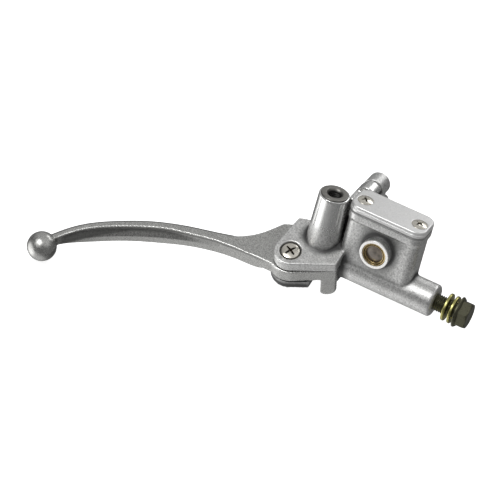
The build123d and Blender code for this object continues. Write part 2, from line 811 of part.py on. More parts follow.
with BuildPart() as clamp_bolts:
    head_seat = clamp_bolt_seat + spring_washer_h
    with BuildSketch(clamp_plane(head_seat)):
        with Locations((0, clamp_bolt_pitch / 2), (0, -clamp_bolt_pitch / 2)):
            Circle(clamp_bolt_d / 2)
    extrude(amount=-clamp_bolt_length)
    with BuildSketch(clamp_plane(head_seat)):
        with Locations((0, clamp_bolt_pitch / 2), (0, -clamp_bolt_pitch / 2)):
            Circle(clamp_bolt_head_d / 2)
    extrude(amount=clamp_bolt_head_h)
    chamfer(
        clamp_bolts.faces().group_by(Axis.Y)[-1].edges().filter_by(GeomType.CIRCLE),
        length=clamp_bolt_chamfer,
    )
    with BuildSketch(clamp_plane(head_seat + clamp_bolt_head_h)):
        with Locations((0, clamp_bolt_pitch / 2), (0, -clamp_bolt_pitch / 2)):
            RegularPolygon(clamp_key / 2, 6, major_radius=False)
    extrude(amount=-clamp_key_depth, mode=Mode.SUBTRACT)
save(clamp_bolts.part, "clamp_bolts")

# ---------------------------------------------------------------- lever and its pivot
with BuildPart() as lever_tab:
    with BuildSketch(lever_plane(-lever_h)):
        with BuildLine():
            tab_in = lever_end - tab_width
            Polyline(
                along_front(tab_in, lever_front, lever_slope),
                along_front(lever_end, lever_front, lever_slope),
                (lever_end, stop_wall - stop_gap),
                (tab_in, stop_wall - stop_gap),
                close=True,
            )
        make_face()
    extrude(amount=2 * lever_h + tab_drop, both=True)
    with BuildSketch(
        Plane(
            origin=pivot_place,
            x_dir=(1, 0, 0),
            z_dir=(0, -cos(tilt), -sin(tilt)),
        )
    ):
        with Locations((lever_end - tab_width / 2, (lever_h / 2 - tab_drop) / 2)):
            tab_face = Rectangle(tab_width, lever_h / 2 + tab_drop)
        fillet(tab_face.vertices().group_by(Axis.Y)[0], radius=tab_corner)
    extrude(amount=4 * lever_h, both=True, mode=Mode.INTERSECT)

with BuildPart() as lever:
    # Blade: one ridged section carried along its curve
    places = [Vector(row[0], row[1], 0) for row in blade_sections]
    for index, (along, across, top, facet, high, bulge) in enumerate(blade_sections):
        before = places[max(index - 1, 0)]
        after = places[min(index + 1, len(places) - 1)]
        way = lever_plane(0).from_local_coords(after) - lever_plane(0).from_local_coords(before)
        ridge = lever_plane(top).from_local_coords(places[index])
        side = way.cross(lever_plane(0).z_dir)
        thick = facet + blade_back
        with BuildSketch(Plane(origin=ridge, x_dir=side, z_dir=way)):
            with BuildLine():
                Polyline(
                    (0, 0),
                    (facet, 0),
                    (thick, blade_back),
                    (thick, high - blade_back),
                    (thick - blade_back, high),
                    (blade_lip - bulge, high),
                    (-bulge, high - blade_lip),
                    (-blade_fullness * bulge, high / 2),
                    (blade_hollow, high * blade_band),
                    close=True,
                )
            make_face()
    loft()
    # Root plate: short arm to the knocker behind the pivot, and the arm towards the tab
    with BuildSketch(lever_plane(-lever_h / 2)):
        with BuildLine():
            arm_start = nose_point(lever_front, lever_slope)
            knocker_low = (knocker_r * cos(radians(30)), pivot_arm - knocker_r / 2)
            knocker_top = (-knocker_r / 3, pivot_arm + 0.94 * knocker_r)
            Polyline(
                arm_start,
                along_front(lever_end, lever_front, lever_slope),
                (lever_end, stop_wall - stop_gap),
                (bore_mouth - 1.0, stop_wall - stop_gap),
                (1.8 * knocker_r, stop_wall + 0.55 * knocker_r),
                knocker_low,
            )
            ThreePointArc(knocker_low, (knocker_r, pivot_arm), knocker_top)
            Spline(knocker_top, heel, root_back[0])
            Spline(*root_back)
            Line(root_back[-1], root_front[0])
            Spline(*root_front)
            ThreePointArc(root_front[-1], nose_point(lever_front, nose_mid), arm_start)
        make_face()
    extrude(amount=lever_h)
    add(lever_tab.part)
    with Locations(lever_plane(0).from_local_coords(Vector(*ball_place, 0))):
        Sphere(ball_d / 2)
    with BuildSketch(lever_plane(lever_h)):
        Circle(pivot_d / 2 + running_clearance)
    extrude(amount=-2 * lever_h, mode=Mode.SUBTRACT)
save(lever.part, "lever")

with BuildPart() as pivot_screw:
    head_seat = fork_top - pivot_counterbore_depth
    with BuildSketch(lever_plane(head_seat)):
        Circle(pivot_d / 2)
    extrude(amount=-(head_seat - fork_bottom + pivot_nut_h + pivot_screw_end))
    with BuildSketch(lever_plane(head_seat)):
        Circle(pivot_head_d / 2)
    extrude(amount=pivot_head_h)
    with BuildSketch(lever_plane(head_seat + pivot_head_h)):
        Rectangle(pivot_cross, pivot_cross_slot)
        Rectangle(pivot_cross_slot, pivot_cross)
    extrude(amount=-pivot_cross_depth, mode=Mode.SUBTRACT)
save(pivot_screw.part, "pivot_screw")

with BuildPart() as pivot_nut:
    with BuildSketch(lever_plane(fork_bottom)):
        RegularPolygon(pivot_nut_af / 2, 6, major_radius=False, rotation=pivot_nut_turn)
    extrude(amount=-pivot_nut_h)
    chamfer(pivot_nut.faces().sort_by(Axis.Z)[0].edges(), length=pivot_nut_chamfer)
    with BuildSketch(lever_plane(fork_bottom)):
        Circle(pivot_d / 2 + thread_clearance)
    extrude(amount=-pivot_nut_h, mode=Mode.SUBTRACT)
save(pivot_nut.part, "pivot_nut")
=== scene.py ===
import json
import logging
import math
from collections.abc import Callable, Sequence
from dataclasses import dataclass, field
from enum import Enum

import bmesh
import bpy
import numpy as np
from mathutils import Matrix, Vector


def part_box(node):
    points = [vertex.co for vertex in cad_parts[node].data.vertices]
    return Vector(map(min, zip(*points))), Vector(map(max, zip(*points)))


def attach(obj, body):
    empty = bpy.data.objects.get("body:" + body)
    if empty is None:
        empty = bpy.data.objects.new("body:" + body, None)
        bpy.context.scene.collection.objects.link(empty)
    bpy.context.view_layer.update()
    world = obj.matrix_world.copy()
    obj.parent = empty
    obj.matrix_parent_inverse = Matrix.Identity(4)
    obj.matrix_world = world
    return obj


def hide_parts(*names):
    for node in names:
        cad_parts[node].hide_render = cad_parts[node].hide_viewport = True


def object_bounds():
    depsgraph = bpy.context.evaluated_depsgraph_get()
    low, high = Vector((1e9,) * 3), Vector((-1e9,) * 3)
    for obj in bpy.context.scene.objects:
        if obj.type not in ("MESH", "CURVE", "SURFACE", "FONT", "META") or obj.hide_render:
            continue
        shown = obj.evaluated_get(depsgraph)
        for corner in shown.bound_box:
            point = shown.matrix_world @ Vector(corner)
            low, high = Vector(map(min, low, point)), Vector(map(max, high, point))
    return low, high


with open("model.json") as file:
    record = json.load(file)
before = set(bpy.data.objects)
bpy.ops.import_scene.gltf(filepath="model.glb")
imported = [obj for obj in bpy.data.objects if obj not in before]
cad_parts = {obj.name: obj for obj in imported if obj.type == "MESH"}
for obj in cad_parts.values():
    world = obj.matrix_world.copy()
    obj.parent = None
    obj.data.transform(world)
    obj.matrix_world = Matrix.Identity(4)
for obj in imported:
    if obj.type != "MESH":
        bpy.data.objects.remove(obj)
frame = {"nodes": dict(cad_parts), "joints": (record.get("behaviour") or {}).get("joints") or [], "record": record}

# Looks of a handlebar brake master cylinder: soft-edged castings, plated screws, a brass-ringed
# sight glass and a hose bolt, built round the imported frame. Every size is in metres.

log = logging.getLogger("master_cylinder")
MM = 0.001
CAD_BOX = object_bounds()
HOUSING = "housing"
LEVER = "lever"

Array = np.ndarray


# ---------------------------------------------------------------- places read from the frame
@dataclass(frozen=True)
class Axis:
    """A local frame for turned and flat pieces: an origin, its main direction and a side.

    Args:
        origin: where the piece's own zero lies.
        along: unit vector of the piece's main direction.
        side: unit vector square to it, where angle zero lies.
    """

    origin: Vector
    along: Vector
    side: Vector

    def basis(self) -> tuple[Array, Array, Array, Array]:
        """Origin, side, third and along vectors as arrays, a right-handed set."""
        along = np.array(self.along.normalized())
        side = np.array(self.side)
        side = side - along * side.dot(along)
        side = side / np.linalg.norm(side)
        return np.array(self.origin), side, np.cross(along, side), along

    def place(self, x: Array, y: Array, z: Array) -> Array:
        """Points at local x, y and z, as rows of row-frame coordinates."""
        origin, side, third, along = self.basis()
        local = np.stack([np.ravel(x), np.ravel(y), np.ravel(z)], axis=1)
        return origin + local @ np.stack([side, third, along])

    def moved(self, distance: float) -> "Axis":
        """The same frame, moved along its main direction."""
        return Axis(self.origin + self.along.normalized() * distance, self.along, self.side)


def middle(node: str) -> Vector:
    """Centre of a CAD node's box."""
    low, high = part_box(node)
    return (low + high) / 2


def mesh_points(mesh: bpy.types.Mesh) -> Array:
    """A mesh's points, one row each."""
    points = np.empty(len(mesh.vertices) * 3)
    mesh.vertices.foreach_get("co", points)
    return points.reshape(-1, 3)


def node_points(node: str) -> Array:
    """A CAD node's points, one row each."""
    return mesh_points(frame["nodes"][node].data)


def half_height(node: str, axis: "Axis", reach: float) -> float:
    """Half the height of a node near an axis, from nine tenths of its points there."""
    height, radius = near_axis(node_points(node), axis)
    return float(np.percentile(np.abs(height[radius < reach]), 90))


def joint(name: str) -> dict:
    """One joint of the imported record."""
    return next(j for j in frame["joints"] if j["name"] == name)


@dataclass(frozen=True)
class Layout:
    """Axes of the bore, the lever's pivot and the sight glass, worked out from the frame."""

    bore: Axis
    pivot: Axis
    glass: Axis
    mirror: Axis

    @staticmethod
    def read() -> "Layout":
        """Reads the axes from the nodes' boxes and the lever's joint."""
        washer = middle("crush_washer_inner")
        _, tube_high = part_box("master_cylinder_body")
        pivot = joint("lever_pivot")
        up = -Vector(pivot["axis"])
        ring = middle("sight_glass_ring")
        mirror = next(m for m in frame["record"]["mounts"] if m["name"] == "mirror_thread")
        mirror_top = Vector((mirror["pos_m"][0], mirror["pos_m"][1], tube_high.z))
        return Layout(
            bore=Axis(Vector((tube_high.x, washer.y, washer.z)), Vector((1, 0, 0)), Vector((0, 1, 0))),
            pivot=Axis(Vector(pivot["pos_m"]), up, Vector((1, 0, 0))),
            glass=Axis(ring, Vector((0, -1, 0)), Vector((1, 0, 0))),
            mirror=Axis(mirror_top, Vector((0, 0, 1)), Vector((1, 0, 0))),
        )

    def glass_at(self, y: float) -> Axis:
        """The sight glass's axis, with its origin moved along it to a given y."""
        origin = Vector((self.glass.origin.x, y, self.glass.origin.z))
        return Axis(origin, self.glass.along, self.glass.side)


# ---------------------------------------------------------------- meshes
def mesh_object(name: str, points: Array, faces: Sequence[Sequence[int]]) -> bpy.types.Object:
    """Makes an object of points and faces, closes its seams and turns its faces outwards.

    Args:
        name: the piece's name.
        points: rows of coordinates in the row frame.
        faces: rows of point numbers.

    Returns:
        The new object, at the origin and smooth shaded.
    """
    mesh = bpy.data.meshes.new(name)
    mesh.from_pydata(points.tolist(), [], [list(map(int, f)) for f in faces])
    work = bmesh.new()
    work.from_mesh(mesh)
    bmesh.ops.remove_doubles(work, verts=work.verts, dist=1e-6)
    bmesh.ops.dissolve_degenerate(work, edges=work.edges, dist=1e-7)
    bmesh.ops.recalc_face_normals(work, faces=work.faces)
    work.to_mesh(mesh)
    work.free()
    piece = bpy.data.objects.new(name, mesh)
    bpy.context.scene.collection.objects.link(piece)
    smooth(piece)
    return piece


def smooth(piece: bpy.types.Object, angle: float = 40.0) -> None:
    """Shades a piece smooth, with edges sharper than an angle in degrees left crisp."""
    piece.data.shade_smooth()
    piece.data.set_sharp_from_angle(angle=math.radians(angle))


def grid_faces(rows: int, columns: int, wrap: bool) -> Array:
    """Four-sided faces of a grid of points, row by row, closed round its columns if wrapped."""
    row = np.arange(rows - 1)[:, None] * columns
    column = np.arange(columns if wrap else columns - 1)[None, :]
    after = (column + 1) % columns
    corners = [row + column, row + after, row + columns + after, row + columns + column]
    return np.stack([np.broadcast_to(c, (rows - 1, column.size)) for c in corners], -1).reshape(-1, 4)


def rounded(corners: Sequence[tuple[float, float, float]], steps: int = 5) -> Array:
    """An open outline with rounded corners.

    Each inner corner (a, b, radius) is replaced by a quadratic curve that leaves and meets its
    two edges at the radius from the corner, or at 45 percent of the shorter edge.

    Args:
        corners: rows of (a, b, radius).
        steps: how many spans each rounded corner gets.

    Returns:
        Rows of (a, b).
    """
    rows = np.array(corners, float)
    out = [rows[0, :2]]
    t = np.linspace(0, 1, steps + 1)[:, None]
    for before, here, after in zip(rows[:-2], rows[1:-1], rows[2:]):
        back = before[:2] - here[:2]
        ahead = after[:2] - here[:2]
        reach = min(here[2], 0.45 * np.linalg.norm(back), 0.45 * np.linalg.norm(ahead))
        if reach < 1e-7:
            out.append(here[:2])
            continue
        start = here[:2] + back / np.linalg.norm(back) * reach
        end = here[:2] + ahead / np.linalg.norm(ahead) * reach
        out.extend((1 - t) ** 2 * start + 2 * t * (1 - t) * here[:2] + t**2 * end)
    out.append(rows[-1, :2])
    return np.array(out)


def turned(
    name: str,
    axis: Axis,
    profile: Array,
    segments: int = 96,
    shape: Callable[[Array, Array, Array], Array] | None = None,
    closed: bool = False,
) -> bpy.types.Object:
    """A piece turned about an axis.

    A point at profile row i and angle t lies at distance along[i] on the axis and at radius[i]
    from it, or at the radius that shape(along, radius, angle) gives instead.

    Args:
        name: the piece's name.
        axis: where it lies.
        profile: rows of (distance along the axis, radius).
        segments: how many points go round.
        shape: changes the radius, for flats and threads.
        closed: joins the last row to the first, for a ring.

    Returns:
        The new piece.
    """
    if closed:
        profile = np.vstack([profile, profile[:1]])
    angle = np.linspace(0, 2 * math.pi, segments, endpoint=False)[None, :]
    along = np.repeat(profile[:, :1], segments, axis=1)
    radius = np.repeat(profile[:, 1:], segments, axis=1)
    angle = np.repeat(angle, len(profile), axis=0)
    if shape is not None:
        radius = shape(along, radius, angle)
    points = axis.place(radius * np.cos(angle), radius * np.sin(angle), along)
    return mesh_object(name, points, grid_faces(len(profile), segments, wrap=True))


def thread(pitch: float, depth: float, start: float, end: float) -> Callable:
    """A turned shape with a screw thread cut between two places along the axis.

    The radius drops by depth times a rounded saw: |2 frac(along / pitch - angle / turn) - 1|,
    faded in and out over one pitch at each end.
    """

    def cut(along: Array, radius: Array, angle: Array) -> Array:
        phase = (along / pitch - angle / (2 * math.pi)) % 1.0
        saw = np.clip(1.25 * np.abs(2 * phase - 1) - 0.12, 0, 1)
        fade = np.clip((along - start) / pitch, 0, 1) * np.clip((end - along) / pitch, 0, 1)
        return radius - depth * saw * fade

    return cut


def rows_along(start: float, end: float, radius: float, count: int) -> list[tuple[float, float]]:
    """Evenly spaced profile rows of one radius."""
    return [(x, radius) for x in np.linspace(start, end, count)]


def hexagon(flats: float, corner: float) -> Callable:
    """A turned shape with six flats, where the profile's radius is over half their distance.

    The radius at an angle is half the flats' distance over the cosine of the angle from the
    nearest flat's middle, held under the profile's own radius and the corner's.
    """

    def cut(along: Array, radius: Array, angle: Array) -> Array:
        sixth = math.pi / 3
        off = (angle + sixth / 2) % sixth - sixth / 2
        flat = np.minimum(flats / 2 / np.cos(off), corner)
        return np.minimum(radius, flat)

    return cut


# ---------------------------------------------------------------- soft-edged castings
def neighbour_mean(points: Array, edges: Array) -> Array:
    """Mean of each point's neighbours."""
    total = np.zeros_like(points)
    ends = np.concatenate([edges[:, 0], edges[:, 1]])
    others = np.concatenate([edges[:, 1], edges[:, 0]])
    count = np.bincount(ends, minlength=len(points))[:, None]
    for axis in range(points.shape[1]):
        total[:, axis] = np.bincount(ends, points[others, axis], minlength=len(points))
    return total / np.maximum(count, 1)


def point_normals(points: Array, quads: Array) -> Array:
    """Unit normals at the points of a four-sided mesh, from the faces' diagonals."""
    across = np.cross(points[quads[:, 2]] - points[quads[:, 0]], points[quads[:, 3]] - points[quads[:, 1]])
    normals = np.zeros_like(points)
    for axis in range(3):
        for corner in range(4):
            normals[:, axis] += np.bincount(quads[:, corner], across[:, axis], minlength=len(points))
    return normals / np.maximum(np.linalg.norm(normals, axis=1, keepdims=True), 1e-12)


@dataclass
class Casting:
    """A CAD node's shape with the soft edges and filled corners of a casting.

    Args:
        node: the CAD node that it stands for.
        body: the body that it rides on; not used.
        voxel: size of the new mesh's faces.
        soften: rounds of smoothing everywhere.
        fill: rounds of smoothing in concave corners only, which makes fillets.
        crisp: tells where smoothing is held back, from points to weights 0 to 1.
        polish: tells where the surface is polished, from points to weights 0 to 1.
        shade: tells where further shade is painted, from points to weights 0 to 1.
    """

    node: str
    body: str
    voxel: float
    soften: int = 5
    fill: int = 14
    crisp: Callable[[Array], Array] | None = None
    polish: Callable[[Array], Array] | None = None
    shade: Callable[[Array], Array] | None = None

    def build(self) -> bpy.types.Object:
        """Remeshes a merged copy of the node, smooths it and stores its edge weights and its painted shade."""
        piece = bpy.data.objects.new(f"{self.node}_casting", frame["nodes"][self.node].data.copy())
        bpy.context.scene.collection.objects.link(piece)
        piece.data.materials.clear()
        work = bmesh.new()
        work.from_mesh(piece.data)
        bmesh.ops.remove_doubles(work, verts=work.verts, dist=1e-7)
        work.to_mesh(piece.data)
        work.free()
        remesh = piece.modifiers.new("skin", "REMESH")
        remesh.mode = "VOXEL"
        remesh.voxel_size = self.voxel
        bpy.context.view_layer.update()
        seen = piece.evaluated_get(bpy.context.evaluated_depsgraph_get())
        mesh = bpy.data.meshes.new_from_object(seen)
        piece.modifiers.clear()
        piece.data = mesh
        self._relax(mesh)
        piece.data.shade_smooth()
        log.info("%s: %d faces", piece.name, len(mesh.polygons))
        return piece

    def _relax(self, mesh: bpy.types.Mesh) -> None:
        """Smooths the mesh in place and writes its edge attribute and its painted-shade attribute."""
        points = mesh_points(mesh)
        edges = np.empty(len(mesh.edges) * 2, int)
        mesh.edges.foreach_get("vertices", edges)
        edges = edges.reshape(-1, 2)
        quads = np.empty(len(mesh.loops), int)
        mesh.loops.foreach_get("vertex_index", quads)
        quads = quads.reshape(-1, 4)
        weight = np.ones((len(points), 1))
        if self.crisp is not None:
            weight = 1 - self.crisp(points)[:, None]
        for _ in range(self.fill):
            pull = neighbour_mean(points, edges) - points
            inward = np.sum(pull * point_normals(points, quads), axis=1, keepdims=True)
            points = points + 0.6 * weight * pull * (inward > 0)
        for _ in range(self.soften):
            points = points + 0.5 * weight * (neighbour_mean(points, edges) - points)
        mesh.vertices.foreach_set("co", points.ravel())
        normals = point_normals(points, quads)
        # Convexity: lightened rubbed edges, which also serve as a painted highlight on ridges.
        bend = np.sum((points - neighbour_mean(points, edges)) * normals, axis=1, keepdims=True)
        bend = bend / self.voxel
        for _ in range(5):
            bend = neighbour_mean(bend, edges)
        # Large-scale concavity: corners and recesses get painted shade in their colour.
        broad = points.copy()
        for _ in range(150):
            broad = neighbour_mean(broad, edges)
        deep = np.sum((broad - points) * normals, axis=1)
        dark = np.clip(deep / (2.0 * self.voxel), 0, 1)
        # Places that the casting names get painted shade as well.
        if self.shade is not None:
            dark = np.maximum(dark, self.shade(points))
        store(mesh, "edge", np.clip(bend[:, 0] * 12 - 0.25, 0, 1))
        store(mesh, "painted_shade", dark)
        if self.polish is not None:
            store(mesh, "polish", self.polish(points))
        mesh.update()


def store(mesh: bpy.types.Mesh, name: str, values: Array) -> None:
    """Writes one number per point as an attribute that materials read."""
    attribute = mesh.attributes.new(name, "FLOAT", "POINT")
    attribute.data.foreach_set("value", values.astype(np.float32))


# ---------------------------------------------------------------- finishes
class Nodes:
    """A short way to build a node tree."""

    def __init__(self, tree: bpy.types.NodeTree) -> None:
        """Wraps a tree."""
        self.tree = tree

    def add(self, kind: str, inputs: dict | None = None, **settings: object) -> bpy.types.Node:
        """Adds a node; inputs may be values or other nodes' sockets."""
        node = self.tree.nodes.new(kind)
        for key, value in settings.items():
            setattr(node, key, value)
        for key, value in (inputs or {}).items():
            if isinstance(value, bpy.types.NodeSocket):
                self.tree.links.new(value, node.inputs[key])
            else:
                node.inputs[key].default_value = value
        return node

    def ramp(
        self, factor: bpy.types.NodeSocket, stops: Sequence[tuple[float, tuple]]
    ) -> bpy.types.NodeSocket:
        """A colour ramp's colour output."""
        node = self.add("ShaderNodeValToRGB", {"Fac": factor})
        elements = node.color_ramp.elements
        while len(elements) < len(stops):
            elements.new(0.5)
        for element, (place, colour) in zip(elements, stops):
            element.position = place
            element.color = (*colour, 1.0)
        return node.outputs["Color"]

    def mix(self, factor: object, a: object, b: object, blend: str = "MIX") -> bpy.types.NodeSocket:
        """A colour mix's result."""
        node = self.add("ShaderNodeMix", data_type="RGBA", blend_type=blend)
        for key, value in ((0, factor), (6, a), (7, b)):
            if isinstance(value, bpy.types.NodeSocket):
                self.tree.links.new(value, node.inputs[key])
            elif key == 0:
                node.inputs[key].default_value = value
            else:
                node.inputs[key].default_value = (*value, 1.0)
        return node.outputs[2]

    def math(self, how: str, a: object, b: object = 0.0, clamp: bool = False) -> bpy.types.NodeSocket:
        """A math node's value."""
        node = self.add("ShaderNodeMath", {0: a, 1: b}, operation=how, use_clamp=clamp)
        return node.outputs[0]


def surface_group() -> bpy.types.NodeTree:
    """Shared shader group: cast or tumbled metal's tone, gloss and grain.

    Inputs are the base colour, the colour of rubbed edges (partly a painted highlight), the colour
    of pits and of painted shade, sizes and strengths. It puts out a colour, a roughness and a
    bump height, from noise on object coordinates and the edge and painted-shade attributes.

    Returns:
        The group, made once.
    """
    known = bpy.data.node_groups.get("metal_surface")
    if known is not None:
        return known
    group = bpy.data.node_groups.new("metal_surface", "ShaderNodeTree")
    sockets = (
        ("Base", "NodeSocketColor", (0.6, 0.6, 0.6, 1)),
        ("Edge", "NodeSocketColor", (0.8, 0.8, 0.8, 1)),
        ("Pore", "NodeSocketColor", (0.2, 0.2, 0.2, 1)),
        ("Grain Scale", "NodeSocketFloat", 1800.0),
        ("Pore Scale", "NodeSocketFloat", 900.0),
        ("Pore Amount", "NodeSocketFloat", 0.3),
        ("Cloud", "NodeSocketFloat", 0.2),
        ("Rough Low", "NodeSocketFloat", 0.3),
        ("Rough High", "NodeSocketFloat", 0.5),
        ("Edge Wear And Highlight", "NodeSocketFloat", 0.5),
        ("Shade Strength", "NodeSocketFloat", 0.5),
        ("Speckle", "NodeSocketFloat", 0.35),
    )
    for name, kind, value in sockets:
        socket = group.interface.new_socket(name=name, in_out="INPUT", socket_type=kind)
        socket.default_value = value
    results = {"Color": "NodeSocketColor", "Roughness": "NodeSocketFloat", "Height": "NodeSocketFloat"}
    for name, kind in results.items():
        group.interface.new_socket(name=name, in_out="OUTPUT", socket_type=kind)
    n = Nodes(group)
    given = n.add("NodeGroupInput").outputs
    where = n.add("ShaderNodeTexCoord").outputs["Object"]

    def noise(scale: bpy.types.NodeSocket | float, detail: float, rough: float) -> bpy.types.NodeSocket:
        """A noise's value in the object's own coordinates."""
        inputs = {"Vector": where, "Scale": scale, "Detail": detail, "Roughness": rough}
        return n.add("ShaderNodeTexNoise", inputs).outputs["Fac"]

    grain = noise(given["Grain Scale"], 3.0, 0.6)
    pores = noise(given["Pore Scale"], 4.0, 0.7)
    cloud = noise(90.0, 3.0, 0.55)
    edge = n.add("ShaderNodeAttribute", attribute_name="edge").outputs["Fac"]
    painted_shade = n.add("ShaderNodeAttribute", attribute_name="painted_shade").outputs["Fac"]
    polish = n.add("ShaderNodeAttribute", attribute_name="polish").outputs["Fac"]
    plain = n.math("SUBTRACT", 1.0, n.math("MULTIPLY", polish, 0.85))
    pits = n.math("MULTIPLY", n.math("SUBTRACT", 0.47, pores), 7.0, clamp=True)
    pits = n.math("MULTIPLY", pits, n.math("MULTIPLY", given["Pore Amount"], plain))
    shade = n.math("MULTIPLY", n.math("SUBTRACT", cloud, 0.5), given["Cloud"])
    amount = n.math("MULTIPLY", given["Speckle"], plain)
    speckle = n.math("MULTIPLY", n.math("SUBTRACT", grain, 0.5), amount)
    tone = n.math("ADD", speckle, n.math("ADD", shade, n.math("ADD", 1.0, n.math("MULTIPLY", polish, 0.1))))
    grey = n.add("ShaderNodeCombineColor", {0: tone, 1: tone, 2: tone}).outputs[0]
    base = n.mix(1.0, given["Base"], grey, "MULTIPLY")
    pitted = n.mix(pits, base, given["Pore"])
    # Painted shade: corners, recesses and shaded places are mixed toward the pit colour.
    shade_strength = n.math("MULTIPLY", painted_shade, given["Shade Strength"], clamp=True)
    shade_mixed = n.mix(shade_strength, pitted, given["Pore"])
    # Convex edges are lightened: rubbed edges, partly a painted highlight.
    wear_and_highlight = n.math("MULTIPLY", edge, given["Edge Wear And Highlight"], clamp=True)
    colour = n.mix(wear_and_highlight, shade_mixed, given["Edge"])
    low_to_high = {
        "Value": grain,
        "From Min": 0.3,
        "From Max": 0.7,
        "To Min": given["Rough Low"],
        "To Max": given["Rough High"],
    }
    rough = n.add("ShaderNodeMapRange", low_to_high).outputs["Result"]
    rough = n.math("ADD", rough, n.math("MULTIPLY", shade_strength, 0.15))
    rough = n.math("SUBTRACT", rough, n.math("MULTIPLY", wear_and_highlight, 0.12), clamp=True)
    rough = n.math("SUBTRACT", rough, n.math("MULTIPLY", polish, 0.2), clamp=True)
    height = n.math("MULTIPLY", n.math("SUBTRACT", grain, n.math("MULTIPLY", pits, 1.5)), plain)
    n.add("NodeGroupOutput", {"Color": colour, "Roughness": rough, "Height": height})
    return group


@dataclass(frozen=True)
class MetalFinish:
    """A metal surface: colours, grain, pores and gloss.

    Args:
        name: the material's name.
        base: main colour.
        edge: colour of rubbed edges, also the colour of a painted highlight on ridges.
        pore_and_shade: colour of pits and of the painted shade in corners and recesses.
        metallic: how metallic it is.
        rough: lowest and highest roughness.
        grain_mm: size of the grain.
        pore_mm: size of the pits.
        pores: how strong the pits are.
        cloud: how uneven the tone is.
        wear_and_highlight: how rubbed the edges are; it also sets the painted highlight on ridges.
        shade_strength: how dark the painted shade in corners and recesses is.
        bump_mm: depth of the grain.
        speckle: how uneven the grain's tone is.
    """

    name: str
    base: tuple[float, float, float]
    edge: tuple[float, float, float]
    pore_and_shade: tuple[float, float, float]
    metallic: float = 1.0
    rough: tuple[float, float] = (0.3, 0.5)
    grain_mm: float = 0.5
    pore_mm: float = 1.0
    pores: float = 0.3
    cloud: float = 0.2
    wear_and_highlight: float = 0.5
    shade_strength: float = 0.5
    bump_mm: float = 0.02
    speckle: float = 0.35

    def material(self) -> bpy.types.Material:
        """Builds the material once and returns it."""
        known = bpy.data.materials.get(f"finish_{self.name}")
        if known is not None:
            return known
        material = bpy.data.materials.new(f"finish_{self.name}")
        material.use_nodes = True
        n = Nodes(material.node_tree)
        shader = n.tree.nodes["Principled BSDF"]
        shader.inputs["Metallic"].default_value = self.metallic
        group = n.add(
            "ShaderNodeGroup",
            {
                "Base": (*self.base, 1),
                "Edge": (*self.edge, 1),
                "Pore": (*self.pore_and_shade, 1),
                "Grain Scale": 1 / (self.grain_mm * MM),
                "Pore Scale": 1 / (self.pore_mm * MM),
                "Pore Amount": self.pores,
                "Cloud": self.cloud,
                "Rough Low": self.rough[0],
                "Rough High": self.rough[1],
                "Edge Wear And Highlight": self.wear_and_highlight,
                "Shade Strength": self.shade_strength,
                "Speckle": self.speckle,
            },
            node_tree=surface_group(),
        )
        relief = {"Height": group.outputs["Height"], "Distance": self.bump_mm * MM, "Strength": 0.8}
        bump = n.add("ShaderNodeBump", relief)
        n.tree.links.new(group.outputs["Color"], shader.inputs["Base Color"])
        n.tree.links.new(group.outputs["Roughness"], shader.inputs["Roughness"])
        n.tree.links.new(bump.outputs["Normal"], shader.inputs["Normal"])
        return material


CAST_SILVER = MetalFinish(
    name="cast_silver", base=(0.64, 0.64, 0.63), edge=(0.9, 0.9, 0.89), pore_and_shade=(0.07, 0.07, 0.07),
    metallic=0.9, rough=(0.3, 0.48), grain_mm=0.85, pore_mm=1.1, pores=0.35, cloud=0.4, wear_and_highlight=0.6,
    shade_strength=0.95, bump_mm=0.06, speckle=1.7,
)
LID_SILVER = MetalFinish(
    name="lid_silver", base=(0.68, 0.68, 0.675), edge=(0.92, 0.92, 0.91), pore_and_shade=(0.06, 0.06, 0.06),
    metallic=0.7, rough=(0.32, 0.42), grain_mm=0.7, pore_mm=1.6, pores=0.08, cloud=0.1, wear_and_highlight=0.6,
    shade_strength=0.85, bump_mm=0.012, speckle=0.4,
)
LEVER_ALLOY = MetalFinish(
    name="lever_alloy", base=(0.52, 0.52, 0.505), edge=(0.95, 0.95, 0.94),
    pore_and_shade=(0.03, 0.03, 0.028), metallic=0.95, rough=(0.22, 0.36), grain_mm=0.8, pore_mm=1.0,
    pores=0.3, cloud=0.3, wear_and_highlight=0.5, shade_strength=0.85, bump_mm=0.035, speckle=1.1,
)
# Dark base colour: painted shade in the threaded hole and a painted dark reflection on the faced ring.
MACHINED_PAINTED_SHADE = MetalFinish(
    name="machined_painted_shade", base=(0.24, 0.235, 0.22), edge=(0.6, 0.6, 0.58), pore_and_shade=(0.02, 0.02, 0.02),
    metallic=1.0, rough=(0.28, 0.42), grain_mm=0.4, pore_mm=1.2, pores=0.15, cloud=0.2, wear_and_highlight=0.3,
    shade_strength=0.9, bump_mm=0.01,
)
MACHINED_BRIGHT = MetalFinish(
    name="machined_bright", base=(0.9, 0.89, 0.87), edge=(0.97, 0.97, 0.96), pore_and_shade=(0.4, 0.4, 0.38),
    metallic=0.3, rough=(0.18, 0.3), grain_mm=0.4, pore_mm=1.5, pores=0.05, cloud=0.1, wear_and_highlight=0.3,
    shade_strength=0.2, bump_mm=0.006,
)
NICKEL = MetalFinish(
    name="nickel_plate", base=(0.74, 0.71, 0.64), edge=(0.92, 0.9, 0.84),
    pore_and_shade=(0.045, 0.034, 0.022), metallic=1.0, rough=(0.16, 0.28), grain_mm=0.5, pore_mm=1.2,
    pores=0.08, cloud=0.1, wear_and_highlight=0.3, shade_strength=0.95, bump_mm=0.004,
)
BRASS = MetalFinish(
    name="turned_brass", base=(0.5, 0.38, 0.19), edge=(0.8, 0.66, 0.42), pore_and_shade=(0.03, 0.022, 0.012),
    metallic=1.0, rough=(0.2, 0.34), grain_mm=0.4, pore_mm=1.0, pores=0.2, cloud=0.25, wear_and_highlight=0.4,
    shade_strength=0.95, bump_mm=0.006,
)
